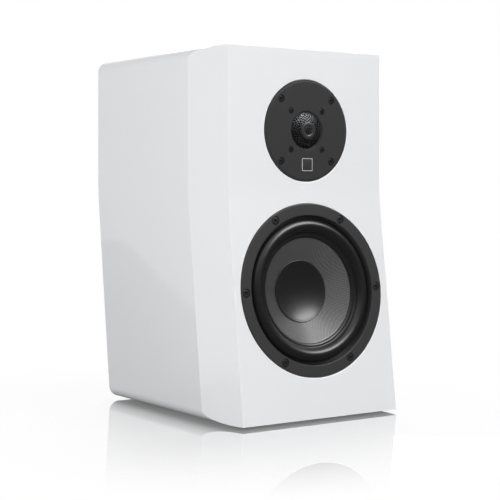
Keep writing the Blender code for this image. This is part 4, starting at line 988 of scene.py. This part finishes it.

# %% [markdown]
# ## Surround
# A half-roll of rubber lets the cone move. Its outer land is glued to the frame and stays still,
# and its inner land moves with the cone. Between them the rubber has to bend. For each point the
# loop below works out, from its distance from the middle, the share that would follow the cone;
# nothing uses that share. A small bead runs round the inner land, where the rubber grips the cone.

# %% Surround
ROLL_CENTRE = 0.0667
ROLL_RADIUS = 0.0072
ROLL_BASE = -0.0069
CONE_EDGE = 0.0543
STILL_FROM = 0.0742
MOVES_FROM = 0.0592
outer_land = [(0.0767, ROLL_BASE), (0.0767, ROLL_BASE + 0.0007), (0.0752, ROLL_BASE + 0.0007)]
roll = arc_points((ROLL_CENTRE, ROLL_BASE), ROLL_RADIUS, 6, 168, 28)
bead = [(0.0593, -0.0056), (0.0590, -0.0061), (0.0586, -0.0064), (0.0581, -0.0065)]
for step in range(9):
    share = step / 8
    swell = 0.0004 * math.sin(math.pi * share)
    bead.append((0.0577 - 0.0030 * share, -0.0065 - 0.0012 * share + swell))
inner_land = [(CONE_EDGE, -0.0085)]
under = arc_points((ROLL_CENTRE, ROLL_BASE), ROLL_RADIUS - 0.001, 180, 0, 20)
surround_mesh = turned_mesh("surround", outer_land + roll + bead + inner_land + under, 160, 75)
surround_mesh.transform(WOOFER)
surround_mesh.materials.append(surround_rubber)
surround = scene_object("surround", surround_mesh)
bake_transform(surround)
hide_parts("woofer_surround")
back_to_plane = WOOFER.inverted()
for vertex in surround.data.vertices:
    flat = back_to_plane @ vertex.co
    share = (STILL_FROM - math.hypot(flat.x, flat.y)) / (STILL_FROM - MOVES_FROM)
    share = min(max(share, 0.0), 1.0)

# %% [markdown]
# ## Cone
# The cone is thin pressed cloth, so both faces are modelled with their real thickness. It runs
# straight from the surround's inner land down to the voice coil.

# %% Cone
cone_outline = [(0.0585, -0.00712), (0.0585, -0.00772), (0.0564, -0.00852), (CONE_EDGE, -0.0094)]
SLOPE = (0.0229 - 0.0088) / (CONE_EDGE - 0.03255)
NECK = 0.0198
steps = 18
for step in range(1, steps + 1):
    radius = CONE_EDGE + (NECK - CONE_EDGE) * step / steps
    cone_outline.append((radius, -0.0094 - SLOPE * (CONE_EDGE - radius)))
for step in range(steps, -1, -1):
    radius = CONE_EDGE + (NECK - CONE_EDGE) * step / steps
    cone_outline.append((radius, -0.0088 - SLOPE * (CONE_EDGE - radius)))
cone_outline.append((0.0564, -0.00792))
add_piece("woven_cone", turned_mesh("woven_cone", cone_outline, 144, 50), woven_cone, WOOFER,
          "woofer_moving", ("woofer_cone",))

# %% [markdown]
# ## Dust cap
# The cap is concave, and its rim stands on the cone with a fine dark seam round it. It is glued
# to the cone, so it moves with it.

# %% Dust cap
CAP_RADIUS = 0.03235
RIM = -0.0220
cap_top = [(CAP_RADIUS - 0.0012, RIM - 0.0003), (CAP_RADIUS - 0.0006, RIM)]
CAP_HOLLOW = 0.0058
hollow_radius = CAP_RADIUS - 0.0018
for step in range(21):
    radius = hollow_radius * (1 - step / 20)
    sink = CAP_HOLLOW * (1 - (radius / hollow_radius) ** 2)
    cap_top.insert(0, (radius, RIM - 0.0004 - sink))
cap_top.sort()
cap_under = [(CAP_RADIUS, RIM - 0.0004)] + [(r, h - 0.0006) for r, h in reversed(cap_top[:-1])]
add_piece("dust_cap", turned_mesh("dust_cap", cap_top + cap_under, 96, 50), cap_satin, WOOFER,
          "woofer_moving", ("woofer_dust_cap",))

# %% [markdown]
# ## Tweeter plate
# A round pressed plate with a softened outer edge. Four screws hold it to the cabinet and four
# smaller ones hold the motor behind it. All eight sit in counterbores.

# %% Tweeter plate
PLATE_TOP = 0.0008
GUARD_BORE = 0.0190
PLATE_SCREW_CIRCLE = 0.0452
MOTOR_SCREW_CIRCLE = 0.02815
plate_outline = rounded_outline([
    (0.0504, PLATE_TOP, 0.0002), (0.0512, 0.0002, 0.0003), (0.0525, 0.0001, 0.0004),
    (0.0525, -0.0042, 0.0002), (GUARD_BORE, -0.0042, 0),
    (GUARD_BORE, -0.0004, 0.0003), (GUARD_BORE + 0.0009, -0.0004, 0.0001),
    (GUARD_BORE + 0.0013, PLATE_TOP, 0.0004)])
plate_mesh = turned_mesh("tweeter_plate", plate_outline, 128)
small_bore = counterbore_tool("small_bore", 0.0030, PLATE_TOP, 0.0005, 0.0028, 32)
large_bore = counterbore_tool("large_bore", 0.0038, PLATE_TOP, 0.0005, 0.0030, 36)
cuts = [copies_of(large_bore, circle_places(PLATE_SCREW_CIRCLE, 4, math.pi / 4), "outer_bores"),
        copies_of(small_bore, circle_places(MOTOR_SCREW_CIRCLE, 4, math.pi / 4), "inner_bores")]
plate_mesh = carve(plate_mesh, cuts, "tweeter_plate")
plate_mesh.materials.clear()
smooth_up_to(plate_mesh, 32)
tweeter_plate = add_piece("tweeter_plate", plate_mesh, plate_grey, TWEETER, "cabinet",
                          ("tweeter_faceplate",))
keep_faces_flat(tweeter_plate)
set_of_screws("plate_bolt", "faceplate_screw", (0.0034, 0.0017, 0.0170), TWEETER,
              circle_places(PLATE_SCREW_CIRCLE, 4, math.pi / 4, PLATE_TOP - 0.0010))
set_of_screws("motor_bolt", "motor_screw", (0.0026, 0.0014, 0.0062), TWEETER,
              circle_places(MOTOR_SCREW_CIRCLE, 4, math.pi / 4, PLATE_TOP - 0.0010))

# %% [markdown]
# ## Lattice guard
# The dome is protected by a lattice of irregular cells, like the veins of a leaf. Such a pattern
# is a Voronoi diagram: each cell holds what is nearest to its seed. The seeds follow a
# sunflower spiral with a little disorder, which spaces them evenly without rows. A Delaunay
# triangulation of the seeds gives the cells: the centre of each triangle's circle is a corner.

# %% Seeds and cells
random.seed(11)
CELL_COUNT = 190
RIM_RADIUS = 0.01875


def lattice_seeds():
    """The middles of the cells, with spare ones outside the rim so that it is closed all round."""
    seeds = []
    golden_angle = math.radians(137.508)
    jitter = 0.00034
    for i in range(int(CELL_COUNT * 1.5)):
        angle = i * golden_angle
        radius = GUARD_BORE * math.sqrt((i + 0.5) / CELL_COUNT)
        seeds.append(Vector((radius * math.cos(angle) + random.uniform(-jitter, jitter),
                             radius * math.sin(angle) + random.uniform(-jitter, jitter))))
    return seeds


def circle_centre(a, b, c):
    """Centre of the circle through three points."""
    d = 2 * (a.x * (b.y - c.y) + b.x * (c.y - a.y) + c.x * (a.y - b.y))
    x = (a.length_squared * (b.y - c.y) + b.length_squared * (c.y - a.y)
         + c.length_squared * (a.y - b.y)) / d
    y = (a.length_squared * (c.x - b.x) + b.length_squared * (a.x - c.x)
         + c.length_squared * (b.x - a.x)) / d
    return Vector((x, y))


seeds = lattice_seeds()
points, _, triangles, _, _, _ = delaunay_2d_cdt(seeds, [], [], 0, 1e-9)
corners = []
around = {}
for number, triangle in enumerate(triangles):
    centre = circle_centre(*(points[i] for i in triangle))
    if centre.length > RIM_RADIUS:
        centre = centre.normalized() * RIM_RADIUS
    corners.append(centre)
    for i in triangle:
        around.setdefault(i, []).append(number)
print("cells", len(around), "corners", len(corners))

# %% [markdown]
# The cells are drawn flat, each is inset by half a wire, the middles are removed, and what stays
# is the lattice. Its points are then lifted onto the dome.

# %% Lattice on the dome
HALF_WIRE = 0.00028
GUARD_RISE = 0.0045
SPHERE = (GUARD_BORE ** 2 + GUARD_RISE ** 2) / (2 * GUARD_RISE)


def dome_height(radius):
    """Height of the guard's middle surface above the plane of the plate."""
    return GUARD_RISE - SPHERE + math.sqrt(SPHERE ** 2 - radius ** 2) - 0.0008


bm = bmesh.new()
corner_verts = [bm.verts.new((c.x, c.y, 0)) for c in corners]
for i, numbers in around.items():
    seed = points[i]
    if seed.length > RIM_RADIUS - 0.0004:
        continue
    numbers.sort(key=lambda n: math.atan2(corners[n].y - seed.y, corners[n].x - seed.x))
    bm.faces.new([corner_verts[n] for n in numbers])
bmesh.ops.delete(bm, geom=[v for v in bm.verts if not v.link_faces], context="VERTS")
bmesh.ops.remove_doubles(bm, verts=bm.verts, dist=0.0002)
rim = [v for v in bm.verts if v.is_boundary]
for vertex in rim:
    if vertex.co.length > 0:
        vertex.co = vertex.co.normalized() * RIM_RADIUS
cells = list(bm.faces)
bmesh.ops.inset_individual(bm, faces=cells, thickness=HALF_WIRE, use_even_offset=True)
bmesh.ops.delete(bm, geom=cells, context="FACES")
for vertex in bm.verts:
    vertex.co.z = dome_height(min(vertex.co.xy.length, GUARD_BORE))
lattice_mesh = bpy.data.meshes.new("lattice")
bm.to_mesh(lattice_mesh)
bm.free()
print("lattice faces", len(lattice_mesh.polygons))

# %% [markdown]
# The flat net is thickened and subdivided once, which rounds the wires and the corners of the
# holes as they are on the real guard.

# %% Round wires
lattice = scene_object("lattice_blank", lattice_mesh)
thick = lattice.modifiers.new("thickness", "SOLIDIFY")
thick.thickness = 0.0005
thick.offset = 0
smooth = lattice.modifiers.new("round", "SUBSURF")
smooth.levels = 1
smooth.render_levels = 1
guard_mesh = applied_mesh(lattice, "lattice_guard")
guard_mesh.materials.clear()
guard_mesh.shade_smooth()
add_piece("lattice_guard", guard_mesh, guard_metal, TWEETER, "cabinet", ("tweeter_guard",))

# %% [markdown]
# ## Diffuser ring
# A smooth convex ring sits on the lattice and spreads the treble.

# %% Diffuser ring
ring_middle = dome_height(0.0062)
ring_outline = []
for radius, height in arc_points((0.0, 0.0), 1.0, 0, 180, 18):
    ring_outline.append((0.0067 + 0.0024 * radius, ring_middle - 0.0002 + 0.0013 * height))
ring_outline += [(0.0044, ring_middle - 0.0005), (0.0049, ring_middle - 0.0008),
                 (0.0085, ring_middle - 0.0012), (0.0090, ring_middle - 0.0008)]
add_piece("diffuser_ring", turned_mesh("diffuser_ring", ring_outline, 96, 60), ring_paint,
          TWEETER, "cabinet", ("tweeter_diffuser",))

# %% [markdown]
# ## Treble dome
# Behind the guard the dome, its half-roll and its coil former move by a quarter of a millimetre.
# They are pressed from one foil, so one outline runs over the dome and the roll and back under.

# %% Treble dome
DOME_RADIUS = 0.0129
FORMER_RADIUS = 0.0126
DOME_RISE = 0.004
DOME_BASE = -0.0045 + 0.00025 + 0.0003
ROLL_MIDDLE = 0.0152
dome_sphere = (DOME_RADIUS ** 2 + DOME_RISE ** 2) / (2 * DOME_RISE)
dome_top = []
for step in range(25):
    radius = DOME_RADIUS * step / 24
    dome_top.append((radius, DOME_BASE + 0.00435 - dome_sphere
                     + math.sqrt(dome_sphere ** 2 - radius ** 2)))
dome_outline = dome_top + arc_points((ROLL_MIDDLE, DOME_BASE + 0.00035), 0.0023, 176, 4, 14)
dome_outline += [(0.0186, DOME_BASE + 0.00035), (0.0186, DOME_BASE)]
dome_outline += arc_points((ROLL_MIDDLE, DOME_BASE), 0.00195, 0, 180, 14)
dome_outline += [(DOME_RADIUS, DOME_BASE), (DOME_RADIUS, DOME_BASE - 0.0055),
                 (FORMER_RADIUS, DOME_BASE - 0.0055)]
dome_outline += [(r * FORMER_RADIUS / DOME_RADIUS, h - 0.00035) for r, h in reversed(dome_top)]
add_piece("treble_dome", turned_mesh("treble_dome", dome_outline, 96, 40), dome_metal_and_shade, TWEETER,
          "tweeter_moving", ("tweeter_dome",))

# %% [markdown]
# ## Badge
# The plate carries a small square badge. This one is left plain, with a raised border.

# %% Badge
def rounded_square(half_x, half_y, corner, height, steps=6):
    """Points round a rectangle with rounded corners."""
    points = []
    for sx, sy, first in ((1, 1, 0), (-1, 1, 90), (-1, -1, 180), (1, -1, 270)):
        for x, y in arc_points((sx * (half_x - corner), sy * (half_y - corner)), corner, first,
                               first + 90, steps):
            points.append((x, y, height))
    return points


tile_levels = [(0.0059, 0.0), (0.0059, 0.00016), (0.0057, 0.00022), (0.0002, 0.00022)]
border_levels = [(0.0067, 0.0), (0.0067, 0.00036), (0.0066, 0.00044), (0.0060, 0.00044),
                 (0.0059, 0.00036), (0.0059, 0.0)]
badge_spot = TWEETER @ Matrix.Translation((0.0003, -0.0352, PLATE_TOP))
tile_mesh = mesh_from_rings(
    "badge_tile", [rounded_square(size, size, min(0.0009, size * 0.5), level)
                   for size, level in tile_levels], False, 30)
border_mesh = mesh_from_rings(
    "badge_border", [rounded_square(size, size, 0.0009, level)
                     for size, level in border_levels], True, 30)
add_piece("badge_tile", tile_mesh, plate_grey, badge_spot, "cabinet", ())
add_piece("badge_border", border_mesh, light_enamel, badge_spot, "cabinet", ())

# %% [markdown]
# ## Reflex port
# A moulded tube with a flared mouth, so the air doesn't hiss. Its flange is let into the back of
# the cabinet. The flare is a quarter of an ellipse, and a shallow step marks where it starts.

# %% Reflex port
bore = []
for step in range(13):
    angle = math.pi / 2 * step / 12
    bore.append((0.026 + 0.005 * (1 - math.sin(angle)), 0.014 * (1 - math.cos(angle)) - 0.130))
for step in range(25):
    angle = math.pi / 2 * step / 24
    bore.append((0.026 + 0.010 * (1 - math.cos(angle)), -0.022 * (1 - math.sin(angle))))
bore += [(0.0366, -0.0001), (0.0372, -0.0004), (0.0382, -0.0004), (0.0386, 0.0)]
skin = [(0.0385, -0.0030), (0.0385, -0.022)]
skin += [(0.0285, -0.030), (0.0285, -0.116), (0.0335, -0.130)]
flange = rounded_outline([(0.0386, 0.0, 0), (0.0460, 0.0, 0.0011), (0.0460, -0.0030, 0),
                          (0.0386, -0.0030, 0)])
port_outline = bore[:-1] + flange[:-1] + skin
add_piece("reflex_port", turned_mesh("reflex_port", port_outline, 96, 40), black_plastic, PORT,
          "cabinet", ("port_tube",))

# %% [markdown]
# ## Terminal plate
# A moulded plate with rounded corners and a raised border; the posts stand on it, each with a
# moulded plus or minus sign beside it, as on any loudspeaker.

# %% Terminal plate
POST_OFFSET = 0.015
POSTS = {"left": POST_OFFSET, "right": -POST_OFFSET}
plate_levels = [(0.0, 0.0003), (0.0, 0.0017), (0.0003, 0.0021), (0.0007, 0.0023), (0.0018, 0.0023),
                (0.0024, 0.0018), (0.0300, 0.0018)]
terminal_mesh = mesh_from_rings(
    "terminal_plate", [rounded_square(0.042 - inset, 0.028 - min(inset, 0.0275),
                                      max(0.0060 - inset, 0.0004), level, 8)
                       for inset, level in plate_levels], False, 30)


def sign_bar(half_x, half_y):
    """One raised bar with rounded corners and a softened top edge."""
    rings = []
    for inset, level in ((0.0, -0.0002), (0.0, 0.00030), (0.00005, 0.00037), (0.00013, 0.0004)):
        rings.append(rounded_square(half_x - inset, half_y - inset, 0.00038 - inset, level, 5))
    return mesh_from_rings("moulded_sign", rings, False, 30)


sign_bars = []
for side, bars in ((1, ((0.0022, 0.0004), (0.0004, 0.0022))), (-1, ((0.0022, 0.0004),))):
    for bar_x, bar_y in bars:
        bar = sign_bar(bar_x, bar_y)
        bar.transform(Matrix.Translation((side * POST_OFFSET, 0.0155, 0.0018)))
        sign_bars.append(bar)
add_piece("terminal_cup", terminal_mesh, black_plastic, TERMINAL, "cabinet", ("terminal_plate",))
for number, sign in enumerate(sign_bars, start=1):
    add_piece(f"moulded_sign_{number}", sign, black_plastic, TERMINAL, "cabinet", ())
corners_of_plate = [Matrix.Translation((x, y, 0.0023)) for x, y in
                    ((0.036, 0.022), (-0.036, 0.022), (-0.036, -0.022), (0.036, -0.022))]
set_of_screws("terminal_bolt", "terminal_screw", (0.0030, 0.0015, 0.0115), TERMINAL,
              corners_of_plate)

# %% [markdown]
# ## Binding posts
# Each post has a coloured collar, red for plus and black for minus, a gold washer that clamps the
# wire, and a fluted nut. Turning the nut moves it and the washer along the stud, so they ride on
# their own bodies. The flutes are a smooth wave round the nut that fades out at its two bevels.

# %% Binding posts
def fluted_nut(name):
    """A closed nut: its outside from the back edge to the front, then down through its bore."""
    levels = [(0.0034, 0.0, 0.0), (0.0070, 0.0, 0.0), (0.0077, 0.0006, 0.6), (0.0080, 0.0012, 1.0),
              (0.0080, 0.0090, 1.0), (0.0077, 0.0094, 0.4), (0.0068, 0.0096, 0.0),
              (0.0066, 0.0104, 0.0), (0.0066, 0.0112, 0.0), (0.0061, 0.0120, 0.0),
              (0.0026, 0.0120, 0.0), (0.0021, 0.0116, 0.0), (0.0021, 0.0108, 0.0),
              (0.0034, 0.0108, 0.0)]
    flutes = 14
    steps = flutes * 12
    rings = []
    for radius, level, flute in levels:
        ring = []
        for i in range(steps):
            angle = 2 * math.pi * i / steps
            wave = abs(math.sin(flutes * angle / 2)) ** 0.8
            here = radius - 0.00055 * flute * (1 - wave)
            ring.append((here * math.cos(angle), here * math.sin(angle), level))
        rings.append(ring)
    return mesh_from_rings(name, rings, True, 30)


collar_outline = rounded_outline([(0.0034, 0.0026, 0), (0.0034, 0.0048, 0),
                                  (0.0078, 0.0048, 0.0005), (0.0085, 0.0041, 0.0003),
                                  (0.0085, 0.0026, 0)])
washer_outline = rounded_outline([(0.0034, 0.0051, 0), (0.0034, 0.0061, 0.0002),
                                  (0.0070, 0.0061, 0.0003), (0.0070, 0.0051, 0.0003)])
for side, x in POSTS.items():
    axis = TERMINAL @ Matrix.Translation((-x, 0, 0))
    collar_finish = red_plastic if side == "right" else black_plastic
    add_piece(side + "_collar", turned_mesh("collar", collar_outline, 64), collar_finish, axis,
              "cabinet", (side + "_post_collar",))
    add_piece(side + "_wire_washer", turned_mesh("wire_washer", washer_outline, 64), plated_brass,
              axis, side + "_washer", (side + "_post_washer",))
    nut_place = axis @ Matrix.Translation((0, 0, 0.0064))
    add_piece(side + "_fluted_nut", fluted_nut("fluted_nut"), plated_brass, nut_place,
              side + "_cap", (side + "_post_cap",))

# %% [markdown]
# ## Pieces that keep their CAD shape
# The motors, the brace, the felt and the crossover are inside the cabinet. Their CAD shapes are
# right as they are, so each keeps its mesh and takes a finish in its material slot.

# %% Finishes for the CAD pieces
kept = {
    fibreboard: ["window_brace"],
    felt: ["damping_felt"],
    copper: ["woofer_voice_coil", "crossover_coil"],
    spider_cloth: ["woofer_spider"],
    plated_steel: ["woofer_top_plate", "woofer_yoke", "tweeter_top_plate", "tweeter_yoke"],
    ferrite: ["woofer_magnet", "tweeter_magnet"],
    black_plastic: ["tweeter_rear_chamber", "crossover_capacitor"],
    plated_brass: ["left_post_stud", "right_post_stud"],
    board_green: ["crossover_board"],
}
for finish, names in kept.items():
    for name in names:
        cad_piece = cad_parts[name]
        if not cad_piece.material_slots:
            cad_piece.data.materials.append(None)
        for material_slot in cad_piece.material_slots:
            material_slot.material = finish
left_over = [name for name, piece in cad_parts.items()
             if not piece.hide_render and not any(name in names for names in kept.values())]
print("CAD pieces without a finish:", left_over)

# %% [markdown]
# ## Floor
# The speaker stands on a large plain floor, which is part of the stage and not of the object.

# %% Floor
floor_mesh = bpy.data.meshes.new("floor")
floor_mesh.from_pydata([(-4, -4, 0), (4, -4, 0), (4, 4, 0), (-4, 4, 0)], [], [(0, 1, 2, 3)])
floor = scene_object("floor", floor_mesh)
print("floor", [round(v, 1) for v in floor.dimensions])

# %% [markdown]
# The floor is pale and glossy. Near the cabinet it keeps the shadow and a soft mirror image, and
# further out it fades into the white background. Its Light Path node tells it what is looking:
# the camera sees this pale floor, gloss paint and metal see a bright card that lies behind the
# cabinet, and all other light meets a plain grey, so that the floor doesn't light the object.

# %% Finish of the floor
floor_finish = bpy.data.materials.new("glossy_floor")
floor_finish.use_nodes = True
tree = floor_finish.node_tree
tree.nodes.clear()
place = tree.nodes.new("ShaderNodeTexCoord").outputs["Object"]
seen = tree.nodes.new("ShaderNodeLightPath")
inward = node(tree, "ShaderNodeVectorMath", {"operation": "ABSOLUTE"}, i0=place)
outside = node(tree, "ShaderNodeVectorMath", {"operation": "SUBTRACT"}, i0=inward.outputs[0],
               i1=(HALF_WIDTH, cad_box[1].y, 0))
clear_of = node(tree, "ShaderNodeVectorMath", {"operation": "MAXIMUM"}, i0=outside.outputs[0],
                i1=(0, 0, 0))
distance = node(tree, "ShaderNodeVectorMath", {"operation": "LENGTH"}, i0=clear_of.outputs[0])
fade = node(tree, "ShaderNodeMapRange", {"interpolation_type": "SMOOTHSTEP"},
            Value=distance.outputs["Value"], From_Min=-0.08, From_Max=0.30)
matt = node(tree, "ShaderNodeBsdfDiffuse", Color=(1.0, 1.0, 1.0, 1))
mirror = node(tree, "ShaderNodeBsdfGlossy", Color=(1, 1, 1, 1), Roughness=0.0)
facing = node(tree, "ShaderNodeLayerWeight", Blend=0.5)
low_angle = maths(tree, "POWER", facing.outputs["Facing"], 2.5)
mirror_share = maths(tree, "MINIMUM", maths(tree, "MULTIPLY", low_angle, 1.35), 0.90)
near = node(tree, "ShaderNodeMixShader", i0=mirror_share, i1=matt.outputs[0], i2=mirror.outputs[0])
bright = node(tree, "ShaderNodeEmission", Color=(1, 1, 1, 1), Strength=1.0)
to_camera = node(tree, "ShaderNodeMixShader", i0=fade.outputs[0], i1=near.outputs[0],
                 i2=bright.outputs[0])
grey = node(tree, "ShaderNodeBsdfDiffuse", Color=(0.46, 0.46, 0.46, 1))
split = node(tree, "ShaderNodeSeparateXYZ", Vector=place)
behind = maths(tree, "GREATER_THAN", split.outputs[1], 0.12)
card_line = maths(tree, "MULTIPLY_ADD", split.outputs[1], 0.5, split.outputs[0])
past_card = maths(tree, "LESS_THAN", card_line, -0.27)
card_tone = maths(tree, "MULTIPLY_ADD", past_card, 0.75, 0.25)
mirrored_tone = maths(tree, "MAXIMUM", maths(tree, "MULTIPLY", card_tone, behind), 0.07)
backdrop = node(tree, "ShaderNodeEmission", Color=(1, 1, 1, 1), Strength=mirrored_tone)
to_others = node(tree, "ShaderNodeMixShader", i0=seen.outputs["Is Glossy Ray"],
                 i1=grey.outputs[0], i2=backdrop.outputs[0])
whole = node(tree, "ShaderNodeMixShader", i0=seen.outputs["Is Camera Ray"],
             i1=to_others.outputs[0], i2=to_camera.outputs[0])
end = tree.nodes.new("ShaderNodeOutputMaterial")
tree.links.new(whole.outputs[0], end.inputs[0])
floor_mesh.materials.append(floor_finish)

print("floor nodes", len(tree.nodes))

# %% [markdown]
# ## Room
# The camera and the floor's mirror see a plain white room. Gloss paint and metal see it graded:
# white behind the cabinet, lighter overhead than at eye level, and dark in front, as in a studio
# with one white wall. As a source of light the room is weak, so white paint doesn't burn out.

# %% Room
scene = bpy.context.scene
scene.view_settings.view_transform = "Standard"
world = bpy.data.worlds.new("white_room")
scene.world = world
world.use_nodes = True
tree = world.node_tree
tree.nodes.clear()
seen = tree.nodes.new("ShaderNodeLightPath")
way = node(tree, "ShaderNodeSeparateXYZ",
           Vector=tree.nodes.new("ShaderNodeTexCoord").outputs["Generated"])
backdrop = node(tree, "ShaderNodeMapRange", {"interpolation_type": "SMOOTHSTEP"},
                Value=way.outputs[1], From_Min=0.05, From_Max=0.45)
ceiling = node(tree, "ShaderNodeMapRange", {"interpolation_type": "SMOOTHSTEP"},
               Value=way.outputs[2], From_Min=0.15, From_Max=0.95, To_Min=0.07, To_Max=0.7)
mirrored = maths(tree, "MAXIMUM", backdrop.outputs[0], ceiling.outputs[0])
soft = node(tree, "ShaderNodeBackground", Color=(1, 1, 1, 1), Strength=0.25)
gloss = node(tree, "ShaderNodeBackground", Color=(1, 1, 1, 1), Strength=mirrored)
white = node(tree, "ShaderNodeBackground", Color=(1, 1, 1, 1), Strength=1.0)
in_gloss = maths(tree, "MAXIMUM", seen.outputs["Is Glossy Ray"],
                 seen.outputs["Is Transmission Ray"])
mix = node(tree, "ShaderNodeMixShader", i0=in_gloss, i1=soft.outputs[0], i2=gloss.outputs[0])
in_floor = maths(tree, "MAXIMUM", seen.outputs["Is Camera Ray"], seen.outputs["Is Singular Ray"])
mix = node(tree, "ShaderNodeMixShader", i0=in_floor, i1=mix.outputs[0], i2=white.outputs[0])
end = tree.nodes.new("ShaderNodeOutputWorld")
tree.links.new(mix.outputs[0], end.inputs[0])
print("room nodes", len(tree.nodes))


# %% [markdown]
# ## Lamps
# Large lamps give soft shadows. Three of them light the front, the left side and the top, one
# lights the back, and a narrow one draws a line along the rear edge. The front and the left lamp
# are hidden from reflections, where they would lie in the gloss paint as flat white panels.

# %% Lamps
def soft_lamp(name, place, target, width, height, power):
    """A rectangular lamp that looks at a point."""
    lamp = bpy.data.lights.new(name, "AREA")
    lamp.shape = "RECTANGLE"
    lamp.size = width
    lamp.size_y = height
    lamp.energy = power
    lamp_object = scene_object(name, lamp)
    lamp_object.location = place
    aim = Vector(target) - Vector(place)
    lamp_object.rotation_euler = aim.to_track_quat("-Z", "Y").to_euler()
    lamp_object.visible_camera = False
    return lamp_object


soft_lamp("overhead", (0.90, -1.25, 1.50), (0, 0, 0.2), 1.28, 0.88, 16.6)
front_fill = soft_lamp("front", (-0.85, -1.95, 0.24), (0, 0, 0.00), 1.0, 0.4, 17.5)
left_fill = soft_lamp("left", (-1.95, -0.70, 0.50), (0, 0, 0.15), 0.9, 0.9, 16.0)
for fill in (front_fill, left_fill):
    fill.visible_glossy = False
soft_lamp("rear", (1.30, 1.54, 1.10), (0, 0, 0.2), 1.0, 1.4, 26.0)
soft_lamp("edge_strip", (-1.50, 1.40, 0.60), (0, 0, 0.2), 0.16, 1.2, 2.0)
print("lamps", [lamp.name for lamp in bpy.data.lights])

# %% [markdown]
# ## Camera
# The camera stands to the left in front, level, and far enough away to keep the edges nearly
# parallel. A vertical shift brings the cabinet into the frame without tilting the camera, so the
# upright edges stay upright.

# %% Camera
lens = bpy.data.cameras.new("camera")
lens.lens = 96.1
lens.sensor_width = 36
lens.shift_y = -0.126
camera = scene_object("camera", lens)
camera.location = (-0.8254, -1.2194, 0.2382)
camera.rotation_euler = (math.radians(90), 0, math.radians(-34.26))
scene.camera = camera
print("camera at", [round(v, 3) for v in camera.location])
